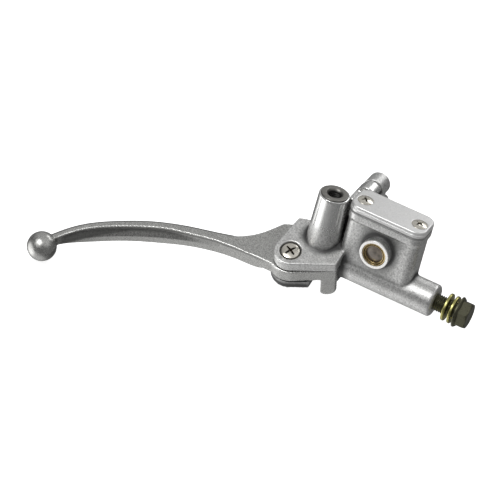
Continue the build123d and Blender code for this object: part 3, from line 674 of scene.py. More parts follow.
OLIVE_STEEL = MetalFinish(
    name="olive_steel", base=(0.12, 0.118, 0.08), edge=(0.25, 0.25, 0.2), pore_and_shade=(0.02, 0.02, 0.012),
    metallic=0.9, rough=(0.26, 0.42), grain_mm=0.6, pore_mm=1.3, pores=0.2, cloud=0.4, wear_and_highlight=0.4,
    shade_strength=0.4, bump_mm=0.01,
)
YELLOW_ZINC = MetalFinish(
    name="yellow_zinc", base=(0.5, 0.47, 0.18), edge=(0.8, 0.78, 0.5), pore_and_shade=(0.14, 0.13, 0.04),
    metallic=1.0, rough=(0.22, 0.36), grain_mm=0.6, pore_mm=1.2, pores=0.15, cloud=0.5, wear_and_highlight=0.4,
    shade_strength=0.4, bump_mm=0.008,
)
DARK_STEEL = MetalFinish(
    name="dark_steel", base=(0.13, 0.13, 0.125), edge=(0.4, 0.4, 0.39), pore_and_shade=(0.03, 0.03, 0.03),
    metallic=0.95, rough=(0.3, 0.46), grain_mm=0.6, pore_mm=1.2, pores=0.2, cloud=0.3, wear_and_highlight=0.5,
    shade_strength=0.4, bump_mm=0.012,
)
ZINC = MetalFinish(
    name="zinc_plate", base=(0.62, 0.63, 0.66), edge=(0.85, 0.86, 0.88), pore_and_shade=(0.2, 0.2, 0.2),
    metallic=1.0, rough=(0.24, 0.36), grain_mm=0.6, pore_mm=1.2, pores=0.1, cloud=0.2, wear_and_highlight=0.4,
    shade_strength=0.3, bump_mm=0.006,
)
SPRING_STEEL = MetalFinish(
    name="spring_steel", base=(0.33, 0.34, 0.35), edge=(0.6, 0.6, 0.6), pore_and_shade=(0.1, 0.1, 0.1),
    metallic=1.0, rough=(0.25, 0.4), grain_mm=0.6, pore_mm=1.2, pores=0.1, cloud=0.2, wear_and_highlight=0.3,
    shade_strength=0.3, bump_mm=0.005,
)
BLACK_RUBBER = MetalFinish(
    name="black_rubber", base=(0.022, 0.022, 0.023), edge=(0.06, 0.06, 0.06),
    pore_and_shade=(0.01, 0.01, 0.01), metallic=0.0, rough=(0.55, 0.75), grain_mm=0.5, pore_mm=1.2,
    pores=0.2, cloud=0.3, wear_and_highlight=0.4, shade_strength=0.3, bump_mm=0.015,
)
WHITE_PLASTIC = MetalFinish(
    name="white_plastic", base=(0.72, 0.72, 0.68), edge=(0.8, 0.8, 0.78), pore_and_shade=(0.5, 0.5, 0.46),
    metallic=0.0, rough=(0.4, 0.5), grain_mm=0.8, pore_mm=1.6, pores=0.05, cloud=0.08, wear_and_highlight=0.2,
    shade_strength=0.2, bump_mm=0.006,
)
PISTON_ALLOY = MetalFinish(
    name="piston_alloy", base=(0.7, 0.71, 0.72), edge=(0.9, 0.9, 0.9), pore_and_shade=(0.3, 0.3, 0.3),
    metallic=1.0, rough=(0.2, 0.3), grain_mm=0.4, pore_mm=1.2, pores=0.05, cloud=0.1, wear_and_highlight=0.3,
    shade_strength=0.2, bump_mm=0.004,
)


@dataclass(frozen=True)
class GlassFinish:
    """Tinted clear glass over a dark chamber.

    Args:
        name: the material's name.
        tint: the glass's colour.
        rough: how blurred it is.
        coat: weight of the clear outer layer.
    """

    name: str = "sight_glass"
    tint: tuple[float, float, float] = (0.12, 0.10, 0.08)
    rough: float = 0.12
    coat: float = 1.0

    def material(self) -> bpy.types.Material:
        """Builds the material once and returns it."""
        known = bpy.data.materials.get(f"finish_{self.name}")
        if known is not None:
            return known
        material = bpy.data.materials.new(f"finish_{self.name}")
        material.use_nodes = True
        n = Nodes(material.node_tree)
        shader = n.tree.nodes["Principled BSDF"]
        where = n.add("ShaderNodeTexCoord").outputs["Object"]
        cloud = n.add("ShaderNodeTexNoise", {"Vector": where, "Scale": 260.0, "Detail": 2.0}).outputs["Fac"]
        dark = tuple(0.45 * c for c in self.tint)
        light = tuple(1.5 * c for c in self.tint)
        colour = n.ramp(cloud, ((0.35, dark), (0.7, light)))
        n.tree.links.new(colour, shader.inputs["Base Color"])
        shader.inputs["Roughness"].default_value = self.rough
        shader.inputs["Coat Weight"].default_value = self.coat
        shader.inputs["Coat Roughness"].default_value = 0.03
        return material


SIGHT_GLASS = GlassFinish()


@dataclass
class Fitted:
    """A finished piece: what it is made of and what it rides on.

    Args:
        piece: the object.
        finish: its surface.
        body: the body that it rides on.
        slot: the record's material slot; not used.
        nodes: the CAD nodes that it stands for.
    """

    piece: bpy.types.Object
    finish: MetalFinish | GlassFinish
    body: str
    slot: str
    nodes: tuple[str, ...] = ()

    def settle(self) -> None:
        """Gives the piece its material and body, and hides the CAD nodes that it stands for."""
        self.piece.data.materials.clear()
        self.piece.data.materials.append(self.finish.material())
        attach(self.piece, self.body)
        if self.nodes:
            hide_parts(*self.nodes)


# ---------------------------------------------------------------- castings of this part
def near_axis(points: Array, axis: Axis) -> tuple[Array, Array]:
    """Distance along an axis and distance from it, for each point."""
    origin, _, _, along = axis.basis()
    local = points - origin
    distance = local @ along
    return distance, np.linalg.norm(local - distance[:, None] * along, axis=1)


@dataclass
class Seat:
    """A round machined seat where a separate ring or liner is let into a casting.

    Args:
        axis: its axis, with its origin on the seat's face.
        outer: radius of the faced area.
        sink: how far the casting's face drops there.
        bore: radius that the hole is opened to, or 0.
        hole: radius of the CAD's hole.
        depth: how deep the hole is opened.
    """

    axis: Axis
    outer: float
    sink: float
    bore: float = 0.0
    hole: float = 0.0
    depth: float = 0.0

    def cut(self, points: Array) -> Array:
        """Moves the casting's points to leave room for the ring and the liner."""
        along, radius = near_axis(points, self.axis)
        direction = np.array(self.axis.along.normalized())
        out = points.copy()
        face = (radius < self.outer) & (along > -self.sink) & (along < 2 * self.sink)
        out[face] -= direction * (self.sink + along[face])[:, None]
        if self.bore > 0:
            wall = (radius > 0.7 * self.hole) & (radius < self.bore)
            wall &= (along > -self.depth) & (along < self.sink)
            origin = np.array(self.axis.origin)
            offset = out - origin
            offset -= (offset @ direction)[:, None] * direction
            grow = np.where(wall, self.bore / np.maximum(radius, 1e-6) - 1, 0)
            out += offset * grow[:, None]
        return out


@dataclass
class SeatedCasting(Casting):
    """A casting with machined seats let into it."""

    seats: tuple[Seat, ...] = ()

    def build(self) -> bpy.types.Object:
        """Builds the casting and cuts its seats."""
        piece = super().build()
        points = mesh_points(piece.data)
        for seat in self.seats:
            points = seat.cut(points)
        piece.data.vertices.foreach_set("co", points.ravel())
        piece.data.update()
        return piece


def darken(piece: bpy.types.Object, axis: Axis, inner: float, outer: float) -> None:
    """Stores painted shade: 1 between two distances from an axis, and 0 elsewhere."""
    _, radius = near_axis(mesh_points(piece.data), axis)
    store(piece.data, "painted_shade", ((radius >= inner) & (radius <= outer)).astype(float))


# ---------------------------------------------------------------- small parts
@dataclass
class ThreadedSeat:
    """The faced ring on top of the mirror boss with its threaded hole.

    Args:
        axis: the hole's axis, with its origin on the face.
        outer: radius of the ring.
        bore: radius inside the thread.
        pitch: the thread's pitch.
        depth: how deep the thread is modelled.
        wall: outside radius of the threaded liner.
    """

    axis: Axis
    outer: float = 7.9 * MM
    bore: float = 3.45 * MM
    pitch: float = 1.25 * MM
    depth: float = 15 * MM
    wall: float = 4.6 * MM

    def build(self) -> bpy.types.Object:
        """Turns the ring and the thread as one closed piece."""
        crown = rounded(
            [
                (-0.5 * MM, self.wall, 0),
                (-0.35 * MM, self.outer, 0.1 * MM),
                (-0.02 * MM, self.outer - 0.25 * MM, 0.15 * MM),
                (0, self.bore + 1.35 * MM, 0.15 * MM),
                (-1.1 * MM, self.bore + 0.1 * MM, 0.2 * MM),
                (-1.3 * MM, self.bore, 0),
            ]
        )
        wall = rows_along(-1.3 * MM, -self.depth, self.bore, 180)
        profile = np.vstack([crown, wall, [(-self.depth, self.wall)]])
        cut = thread(self.pitch, -0.6 * MM, -self.depth, -0.8 * MM)

        def inside(along: Array, radius: Array, angle: Array) -> Array:
            return np.where(radius < self.bore + 0.2 * MM, cut(along, radius, angle), radius)

        piece = turned("mirror_thread_seat", self.axis, profile, 96, inside, closed=True)
        # Painted shade inside the threaded hole and on its chamfer.
        darken(piece, self.axis, 0, self.bore + 0.9 * MM)
        return piece


@dataclass
class RoundRing:
    """A turned ring of rounded rectangular section.

    Args:
        name: the piece's name.
        axis: its axis, with its origin on the front face.
        inner: radius of its hole.
        outer: its outside radius.
        height: its thickness, behind the front face.
        edge: how far its edges are rounded.
    """

    name: str
    axis: Axis
    inner: float
    outer: float
    height: float
    edge: float

    def build(self) -> bpy.types.Object:
        """Turns the ring."""
        mid = (self.inner + self.outer) / 2
        profile = rounded(
            [
                (0, mid, 0),
                (0, self.outer, self.edge),
                (-self.height, self.outer, self.edge),
                (-self.height, self.inner, self.edge),
                (0, self.inner, self.edge),
                (0, mid, 0),
            ]
        )
        return turned(self.name, self.axis, profile, 128)


@dataclass
class BrassRing:
    """The ring round the sight glass: two lips with a groove between them.

    Args:
        axis: its axis, with its origin on the front face.
        outer: its outside radius.
        height: its thickness, behind the front face.
    """

    axis: Axis
    outer: float
    height: float

    def build(self) -> bpy.types.Object:
        """Turns the ring."""
        profile = rounded(
            [
                (-0.75 * MM, self.outer - 1.0 * MM, 0),
                (-0.1 * MM, self.outer - 0.75 * MM, 0.1 * MM),
                (0, self.outer - 0.25 * MM, 0.15 * MM),
                (-0.3 * MM, self.outer, 0.1 * MM),
                (-self.height, self.outer, 0.1 * MM),
                (-self.height, self.outer - 1.8 * MM, 0.1 * MM),
                (-0.45 * MM, self.outer - 1.8 * MM, 0.15 * MM),
                (-0.25 * MM, self.outer - 1.4 * MM, 0.1 * MM),
                (-0.75 * MM, self.outer - 1.0 * MM, 0),
            ]
        )
        piece = turned("sight_glass_brass", self.axis, profile, 128)
        # Painted shade in the groove between the two lips.
        darken(piece, self.axis, self.outer - 1.35 * MM, self.outer - 0.8 * MM)
        return piece


@dataclass
class Lens:
    """A slightly domed glass disc behind the sight glass ring."""

    axis: Axis
    radius: float
    dome: float = 0.5 * MM
    back: float = 2.0 * MM

    def build(self) -> bpy.types.Object:
        """Turns the disc: its front rises by dome times (1 - (radius share) squared)."""
        share = np.linspace(0, 1, 24)
        front = np.stack([self.dome * (1 - share**2), self.radius * share], axis=1)
        front[0, 1] = 1e-5
        profile = np.vstack([front, [(-self.back, self.radius)], [(-self.back, 1e-5)]])
        return turned("sight_glass_disc", self.axis, profile, 96, closed=True)


class Head(Enum):
    """How a cross-recess screw's head is seated."""

    PAN = "pan"
    RAISED = "raised countersunk"


@dataclass
class CrossScrew:
    """A cross-recess screw with a smooth crowned head.

    Args:
        name: the piece's name.
        axis: its axis, with its origin where the head's rim starts, pointing out of the head.
        head: how the head is seated.
        head_r: the head's radius.
        crown: how high the head's crown rises.
        rim: height of the head's straight side, for a pan head.
        shank_r: the shank's radius.
        shank: the shank's length.
        turn: how far the recess is turned, in degrees.
        recess: half the recess's length.
        wing: half the recess's width at the top.
        depth: how deep the recess goes.
    """

    name: str
    axis: Axis
    head: Head
    head_r: float
    crown: float
    rim: float
    shank_r: float
    shank: float
    turn: float
    recess: float
    wing: float
    depth: float

    def _recess(self, x: Array, y: Array) -> Array:
        """Depth of the cross at a point, between 0 and 1.

        Each wing is 1 along its own line and falls off over its half width, which narrows
        towards its end; the middle of the cross is widened into a small square well.
        """
        turn = math.radians(self.turn)
        a = x * math.cos(turn) + y * math.sin(turn)
        b = -x * math.sin(turn) + y * math.cos(turn)
        best = np.zeros_like(a)
        for along, across in ((np.abs(a), np.abs(b)), (np.abs(b), np.abs(a))):
            width = self.wing * (1.15 - 0.35 * along / self.recess)
            side = np.clip((width - across) / (0.45 * self.wing), 0, 1)
            end = np.clip((self.recess - along) / (0.30 * self.recess), 0, 1)
            best = np.maximum(best, side * np.sqrt(end))
        well = np.clip((1.9 * self.wing - np.abs(a) - np.abs(b)) / (0.6 * self.wing), 0, 1)
        return np.maximum(best, well)

    def build(self) -> bpy.types.Object:
        """Makes the head as a height field on a polar grid, over a turned shank."""
        segments = 160
        share = np.sqrt(np.linspace(0, 1, 64))
        share[0] = 1e-4
        top_r = self.head_r * 0.985
        angle = np.linspace(0, 2 * math.pi, segments, endpoint=False)
        r, t = np.meshgrid(share * top_r, angle, indexing="ij")
        x, y = r * np.cos(t), r * np.sin(t)
        crown = self.crown * (1 - (r / self.head_r) ** 2) ** 0.8
        deepest = 0.55 + 0.45 * np.exp(-((r / self.recess) ** 2) * 2)
        z = self.rim + crown - self.depth * self._recess(x, y) * deepest
        if self.head is Head.PAN:
            side = [(self.rim - 0.12 * MM, self.head_r), (0, self.head_r), (0, self.shank_r)]
        else:
            side = [(-0.15 * MM, self.head_r), (-(self.head_r - self.shank_r), self.shank_r)]
        side += [(-self.shank, self.shank_r), (-self.shank - 0.5 * self.shank_r, 1e-5)]
        rows = np.array(side)
        sx = rows[:, 1:] * np.cos(angle)
        sy = rows[:, 1:] * np.sin(angle)
        sz = np.repeat(rows[:, :1], segments, axis=1)
        x, y, z = (np.vstack(pair) for pair in ((x, sx), (y, sy), (z, sz)))
        points = self.axis.place(x, y, z)
        piece = mesh_object(self.name, points, grid_faces(len(x), segments, wrap=True))
        # Painted shade in the cross recess.
        origin, side, third, along = self.axis.basis()
        seen = mesh_points(piece.data) - origin
        cross = np.clip(1.6 * self._recess(seen @ side, seen @ third), 0, 1)
        store(piece.data, "painted_shade", cross * (seen @ along > self.rim - self.depth))
        smooth(piece, 50)
        return piece


@dataclass
class HoseBolt:
    """The banjo bolt: threaded shank, neck, flange and chamfered hexagon head.

    Args:
        axis: the bore's axis, with its origin on the flange's inner face, pointing outwards.
    """

    axis: Axis
    shank_r: float = 4.9 * MM
    shank: float = 21.4 * MM
    pitch: float = 1.25 * MM
    flange_r: float = 8.95 * MM
    flange: float = 1.4 * MM
    flats: float = 14.0 * MM
    head: float = 6.0 * MM

    def build(self) -> bpy.types.Object:
        """Turns shank, flange and head as one piece, the head with six flats."""
        end = self.flange + self.head
        neck = 4.0 * MM
        corner = self.flats / 2 / math.cos(math.pi / 6)
        shank = [(-self.shank, 1e-5), (-self.shank, 3.9 * MM), (-self.shank + 0.7 * MM, self.shank_r)]
        shank += rows_along(-self.shank + 0.75 * MM, -neck, self.shank_r, 170)
        shank += [(-neck + 0.4 * MM, 4.35 * MM), (-0.5 * MM, 4.35 * MM)]
        shank += [(-0.05 * MM, 4.8 * MM), (0, 5.2 * MM)]
        flange = rounded(
            [
                (0, 5.3 * MM, 0),
                (0, self.flange_r, 0.25 * MM),
                (0.55 * self.flange, self.flange_r, 0.3 * MM),
                (1.15 * self.flange, corner + 0.1 * MM, 0.3 * MM),
                (1.25 * self.flange, corner, 0),
            ]
        )
        head = [(x, corner) for x in np.linspace(1.3 * self.flange, end - 1.5 * MM, 6)]
        chamfer = ((1.3, 0.03), (0.9, 0.22), (0.5, 0.55), (0.2, 1.0), (0.04, 1.5), (0, 2.0))
        head += [(end - drop * MM, corner - fall * MM) for drop, fall in chamfer]
        head += [(end, 3.6 * MM), (end - 0.12 * MM, 3.1 * MM), (end - 0.14 * MM, 1e-5)]
        profile = np.vstack([shank, flange, head])
        cut = thread(self.pitch, 0.62 * MM, -self.shank + 0.3 * MM, -neck)
        flats = hexagon(self.flats, corner)

        def shape(along: Array, radius: Array, angle: Array) -> Array:
            radius = np.where((along < -neck) & (radius > 4.5 * MM), cut(along, radius, angle), radius)
            return np.where(along > 1.22 * self.flange, flats(along, radius, angle), radius)

        return turned("hose_bolt", self.axis, profile, 192, shape)


@dataclass
class HexNut:
    """A plain nut with chamfered corners on the end of the pivot screw."""

    axis: Axis
    flats: float
    height: float
    hole: float

    def build(self) -> bpy.types.Object:
        """Turns the nut downwards from its seat, with six flats."""
        corner = self.flats / 2 / math.cos(math.pi / 6)
        outer = rounded(
            [
                (0, self.hole, 0),
                (0, self.flats / 2 * 0.98, 0.05 * MM),
                (-0.7 * MM, corner, 0.4 * MM),
                (-self.height + 0.8 * MM, corner, 0.4 * MM),
                (-self.height, self.flats / 2 * 0.96, 0.1 * MM),
                (-self.height, self.hole + 0.4 * MM, 0.05 * MM),
                (-self.height + 0.5 * MM, self.hole, 0),
            ],
            8,
        )
        return turned("pivot_hex_nut", self.axis, outer, 144, hexagon(self.flats, corner), closed=True)


@dataclass
class SocketScrew:
    """A cap screw with a hexagon socket and a lightly grooved side."""

    name: str
    axis: Axis
    shank_r: float
    shank: float
    head_r: float
    head: float
    key: float
    socket: float

    def build(self) -> bpy.types.Object:
        """Turns shank and head; the side's radius drops by 0.12 mm in 36 grooves."""
        corner = self.key / 2 / math.cos(math.pi / 6)
        side = rounded(
            [
                (0, self.shank_r, 0),
                (0, self.head_r, 0.3 * MM),
                (self.head - 0.5 * MM, self.head_r, 0.3 * MM),
                (self.head, self.head_r - 0.6 * MM, 0.3 * MM),
                (self.head, corner + 0.4 * MM, 0.1 * MM),
                (self.head - 0.35 * MM, corner, 0),
            ]
        )
        tip = -self.shank
        shank = [(tip, 1e-5), (tip, self.shank_r - 0.6 * MM), (tip + 0.7 * MM, self.shank_r)]
        bottom = self.head - self.socket
        well = [(self.head - 0.4 * MM, corner), (bottom, corner), (bottom - 0.6 * MM, 1e-5)]
        profile = np.vstack([shank, side, well])

        def shape(along: Array, radius: Array, angle: Array) -> Array:
            grip = (radius > self.head_r - 0.05 * MM) & (along > 0.6 * MM) & (along < self.head - 0.8 * MM)
            groove = np.where(grip, 0.12 * MM * np.abs(np.sin(18 * angle)), 0)
            sixth = math.pi / 3
            off = (angle + sixth / 2) % sixth - sixth / 2
            flat = np.minimum(self.key / 2 / np.cos(off), radius)
            inside = (radius < corner + 0.01 * MM) & (along > 0.2 * MM)
            return np.where(inside, flat, radius - groove)

        return turned(self.name, self.axis, profile, 144, shape)


@dataclass
class SpringWasher:
    """A split spring washer: a rectangular section carried round most of a circle."""

    name: str
    axis: Axis
    inner: float
    outer: float
    height: float
    gap: float = 8.0
    rise: float = 0.12 * MM

    def build(self) -> bpy.types.Object:
        """Sweeps the section; the ring climbs by rise from one end to the other."""
        section = rounded(
            [
                (0, self.inner, 0),
                (0, self.outer, 0.15 * MM),
                (self.height - self.rise, self.outer, 0.15 * MM),
                (self.height - self.rise, self.inner, 0.15 * MM),
                (0, self.inner, 0),
            ]
        )[:-1]
        turn = np.linspace(math.radians(self.gap), math.radians(360), 120)
        z = section[:, 0][None, :] + self.rise * (turn / turn[-1])[:, None]
        x = section[:, 1][None, :] * np.cos(turn)[:, None]
        y = section[:, 1][None, :] * np.sin(turn)[:, None]
        count = len(section)
        faces = grid_faces(len(turn), count, wrap=True).tolist()
        faces.append(list(range(count)))
        faces.append([(len(turn) - 1) * count + i for i in range(count)])
        return mesh_object(self.name, self.axis.place(x, y, z), faces)


@dataclass
class Boot:
    """The rubber bellows round the piston rod."""

    axis: Axis
    rod: float
    seat: float

    def build(self) -> bpy.types.Object:
        """Turns the bellows: a lip on the rod, two rolled folds and a thick seat."""
        inner = self.rod
        profile = rounded(
            [
                (-3.9 * MM, inner, 0),
                (-3.9 * MM, inner + 1.1 * MM, 0.4 * MM),
                (-2.9 * MM, inner + 1.1 * MM, 0.3 * MM),
                (-2.2 * MM, inner + 2.3 * MM, 0.4 * MM),
                (-1.4 * MM, inner + 1.5 * MM, 0.3 * MM),
                (-0.5 * MM, inner + 2.9 * MM, 0.4 * MM),
                (0.2 * MM, self.seat, 0.3 * MM),
                (3.0 * MM, self.seat, 0.2 * MM),
                (3.0 * MM, self.seat - 1.4 * MM, 0.2 * MM),
                (0.9 * MM, self.seat - 1.4 * MM, 0.3 * MM),
                (0.2 * MM, inner + 1.8 * MM, 0.3 * MM),
                (-1.4 * MM, inner + 0.6 * MM, 0.3 * MM),
                (-2.2 * MM, inner + 1.2 * MM, 0.3 * MM),
                (-2.8 * MM, inner, 0.2 * MM),
                (-3.9 * MM, inner, 0),
            ],
            4,
        )
        return turned("rod_boot", self.axis, profile, 96)


# ---------------------------------------------------------------- sub-assemblies
@dataclass
class BodyGroup:
    """The body casting with its machined seats."""

    layout: Layout

    def build(self) -> list[Fitted]:
        """Casting and mirror seat."""
        mirror = self.layout.mirror
        glass_front = self.glass_face()
        seats = (
            Seat(mirror, 7.4 * MM, 0.3 * MM, bore=4.3 * MM, hole=3.4 * MM, depth=14 * MM),
            Seat(glass_front, 8.6 * MM, 0.2 * MM),
        )
        casting = SeatedCasting(
            node="master_cylinder_body",
            body=HOUSING,
            voxel=0.5 * MM,
            soften=3,
            fill=10,
            crisp=self._crisp,
            polish=self._polish,
            shade=self._shade,
            seats=seats,
        )
        bezel = RoundRing("sight_glass_bezel", glass_front, 7.1 * MM, 8.6 * MM, 1.2 * MM, 0.18 * MM)
        return [
            Fitted(casting.build(), CAST_SILVER, HOUSING, "cast_body", ("master_cylinder_body",)),
            Fitted(ThreadedSeat(mirror).build(), MACHINED_PAINTED_SHADE, HOUSING, "cast_body"),
            Fitted(bezel.build(), MACHINED_BRIGHT, HOUSING, "cast_body"),
        ]

    def glass_face(self) -> Axis:
        """The sight glass's axis, with its origin on the boss's face."""
        low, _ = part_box("sight_glass_ring")
        return self.layout.glass_at(low.y - 0.4 * MM)

    def _crisp(self, points: Array) -> Array:
        """Holds smoothing back in the bores and near the machined faces."""
        along, radius = near_axis(points, self.layout.bore)
        weight = ((radius < 8.0 * MM) & (along < 0.2 * MM)).astype(float) * 0.7
        along, radius = near_axis(points, self.glass_face())
        weight = np.maximum(weight, ((radius < 8.9 * MM) & (np.abs(along) < 6 * MM)) * 0.75)
        along, radius = near_axis(points, self.layout.mirror)
        return np.maximum(weight, ((radius < 4.6 * MM) & (along > -16 * MM)) * 0.8)

    def _polish(self, points: Array) -> Array:
        """Tells the polished places: the mirror boss and the upper clamp boss."""
        along, radius = near_axis(points, self.layout.mirror)
        weight = np.clip((12.5 * MM - radius) / (2 * MM), 0, 1)
        weight = weight * np.clip((along + 22 * MM) / (4 * MM), 0, 1)
        low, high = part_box("clamp_cap")
        upper = (points[:, 0] > low.x) & (points[:, 0] < high.x) & (points[:, 2] > 0.45 * high.z)
        return np.maximum(weight, 0.8 * upper * (points[:, 1] > -16 * MM))

    def _shade(self, points: Array) -> Array:
        """Tells where shade is painted: inside the fork, on its lower ear and on the flange's top edge."""
        half = half_height("lever", self.layout.pivot, 12 * MM)
        height, radius = near_axis(points, self.layout.pivot)
        near = np.clip((34 * MM - radius) / (4 * MM), 0, 1)
        slot = near * (np.abs(height) < half + 0.95 * MM)
        lower = near * np.clip((-height - half) / (1 * MM), 0, 1)
        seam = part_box("reservoir_lid")[0].z - 0.8 * MM
        beside_mirror = points[:, 0] > self.layout.mirror.origin.x + 9.5 * MM
        rim = beside_mirror & (points[:, 2] > seam) & (points[:, 2] < seam + 1.2 * MM)
        return np.maximum(np.maximum(slot, lower), rim)


@dataclass
class ReservoirGroup:
    """Lid, its two screws and the sight glass."""

    layout: Layout

    def build(self) -> list[Fitted]:
        """Lid casting, screws, brass ring and glass."""
        lid = Casting("reservoir_lid", HOUSING, 0.22 * MM, soften=1, fill=0, shade=self._shade)
        parts = [Fitted(lid.build(), LID_SILVER, HOUSING, "lid", ("reservoir_lid",))]
        low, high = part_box("lid_screws")
        _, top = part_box("reservoir_lid")
        head_r = (high.y - low.y) / 2
        mid = (low.y + high.y) / 2
        places = (
            ("lid_screw_outboard", low.x + head_r, 38.0, ("lid_screws",)),
            ("lid_screw_inboard", high.x - head_r, 62.0, ()),
        )
        for name, x, turn, nodes in places:
            screw = CrossScrew(
                name=name,
                axis=Axis(Vector((x, mid, top.z + 0.05 * MM)), Vector((0, 0, 1)), Vector((1, 0, 0))),
                head=Head.RAISED,
                head_r=head_r * 0.985,
                crown=0.75 * MM,
                rim=0.0,
                shank_r=2.5 * MM,
                shank=14 * MM,
                turn=turn,
                recess=2.5 * MM,
                wing=0.52 * MM,
                depth=1.7 * MM,
            )
            parts.append(Fitted(screw.build(), NICKEL, HOUSING, "nickel_steel", nodes))
        return parts + self._glass()

    @staticmethod
    def _shade(points: Array) -> Array:
        """Paints shade on the lid's lower edge, where it meets the flange."""
        low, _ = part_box("reservoir_lid")
        return np.clip((low.z + 0.75 * MM - points[:, 2]) / (0.3 * MM), 0, 1)

    def _glass(self) -> list[Fitted]:
        """Brass ring and lens in the boss on the front wall."""
        low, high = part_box("sight_glass_ring")
        face = self.layout.glass_at(low.y)
        radius = (high.x - low.x) / 2
        ring = BrassRing(face, radius * 0.995, high.y - low.y)
        lens = Lens(face.moved(-(high.y - low.y) - 0.6 * MM), radius * 0.98)
        return [
            Fitted(ring.build(), BRASS, HOUSING, "brass", ("sight_glass_ring",)),
            Fitted(lens.build(), SIGHT_GLASS, HOUSING, "sight_glass", ("sight_glass_lens",)),
        ]


@dataclass
class LeverGroup:
    """Hand lever with its pivot screw and nut."""

    layout: Layout

    def build(self) -> list[Fitted]:
        """Lever casting, pivot screw and nut."""
        lever = Casting("lever", LEVER, 0.38 * MM, soften=3, fill=8, shade=self._shade)
        pivot = self.layout.pivot
        low, high = self._span("pivot_screw")
        nut_low, nut_high = self._span("pivot_nut")
        head = 3.0 * MM
        screw = CrossScrew(
            name="pivot_cross_screw",
            axis=pivot.moved(high - head),
            head=Head.PAN,
            head_r=5.1 * MM,
            crown=0.9 * MM,
            rim=head - 0.95 * MM,
            shank_r=2.98 * MM,
            shank=high - head - low,
            turn=62.0,
            recess=3.5 * MM,
            wing=0.62 * MM,
            depth=2.2 * MM,
        )
        side = Matrix.Rotation(math.radians(12.0), 3, pivot.along) @ pivot.side
        seat = Axis(pivot.moved(nut_high).origin, pivot.along, side)
        nut = HexNut(seat, flats=10.0 * MM, height=nut_high - nut_low, hole=3.05 * MM)
        return [
            Fitted(lever.build(), LEVER_ALLOY, LEVER, "lever_alloy", ("lever",)),
            Fitted(screw.build(), NICKEL, HOUSING, "nickel_steel", ("pivot_screw",)),
            Fitted(nut.build(), DARK_STEEL, HOUSING, "dark_steel", ("pivot_nut",)),
        ]

    def _shade(self, points: Array) -> Array:
        """Paints the dark reflection in the band under the blade's ridge into its colour."""
        origin, _, _, along = self.layout.pivot.basis()
        local = points - origin
        out = -local[:, 0]
        height = local @ along
        low = MM * np.interp(out / MM, (8, 30, 60, 88, 108, 120), (3.4, 3.0, 2.6, 1.6, -0.6, -2.6))
        top = MM * np.interp(out / MM, (0, 98, 112, 122), (3.9, 3.9, 3.4, 2.2))
        band = np.clip((top - height) / (0.5 * MM), 0, 1) * np.clip((height - low) / (1.2 * MM) + 1, 0, 1)
        root = np.clip((out - 9 * MM) / (6 * MM), 0, 1)
        neck = np.clip((121 * MM - out) / (3 * MM), 0, 1)
        return 0.72 * band * root * neck

    def _span(self, node: str) -> tuple[float, float]:
        """Lowest and highest distance of a node's points along the pivot."""
        along, _ = near_axis(node_points(node), self.layout.pivot)
        return float(along.min()), float(along.max())


@dataclass
class HoseGroup:
    """Banjo bolt and its two loose washers."""

    layout: Layout

    def build(self) -> list[Fitted]:
        """Bolt and washers on the bore's axis."""
        _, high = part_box("banjo_bolt")
        bore = self.layout.bore
        above_seat = HoseBolt.flange + HoseBolt.head
        bolt = HoseBolt(bore.moved(high.x - above_seat - bore.origin.x))
        parts = [Fitted(bolt.build(), OLIVE_STEEL, HOUSING, "olive_steel", ("banjo_bolt",))]
        for place in ("inner", "outer"):
            node = f"crush_washer_{place}"
            low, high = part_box(node)
            face = bore.moved(high.x - bore.origin.x)
            outer = (high.y - low.y) / 2
            ring = RoundRing(f"washer_{place}", face, 5.15 * MM, outer, high.x - low.x, 0.5 * MM)
            parts.append(Fitted(ring.build(), YELLOW_ZINC, f"{place}_washer", "yellow_zinc", (node,)))
        return parts


@dataclass
class ClampGroup:
    """Rear half of the handlebar clamp with its bolts and washers."""

    layout: Layout

    def build(self) -> list[Fitted]:
        """Cap casting, two socket screws and two spring washers."""
        cap = Casting("clamp_cap", HOUSING, 0.36 * MM, soften=4, fill=10)
        parts = [Fitted(cap.build(), CAST_SILVER, HOUSING, "cast_body", ("clamp_cap",))]
        washer_low, washer_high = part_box("clamp_spring_washers")
        washer_h = washer_high.y - washer_low.y
        low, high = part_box("clamp_bolts")
        head_r = (high.x - low.x) / 2
        x = (low.x + high.x) / 2
        back = Vector((0, 1, 0))
        places = (
            ("upper", high.z - head_r, ("clamp_spring_washers",), ("clamp_bolts",)),
            ("lower", low.z + head_r, (), ()),
        )
        for side, z, washer_nodes, bolt_nodes in places:
            seat = Axis(Vector((x, washer_low.y, z)), back, Vector((1, 0, 0)))
            washer = SpringWasher(f"spring_washer_{side}", seat, 3.25 * MM, 4.75 * MM, washer_h)
            screw = SocketScrew(
                name=f"clamp_screw_{side}",
                axis=seat.moved(washer_h),
                shank_r=2.98 * MM,
                shank=washer_high.y - low.y,
                head_r=head_r,
                head=high.y - washer_high.y,
                key=5.0 * MM,
                socket=3.0 * MM,
            )
            parts.append(Fitted(washer.build(), ZINC, HOUSING, "zinc_steel", washer_nodes))
            parts.append(Fitted(screw.build(), ZINC, HOUSING, "zinc_steel", bolt_nodes))
        return parts


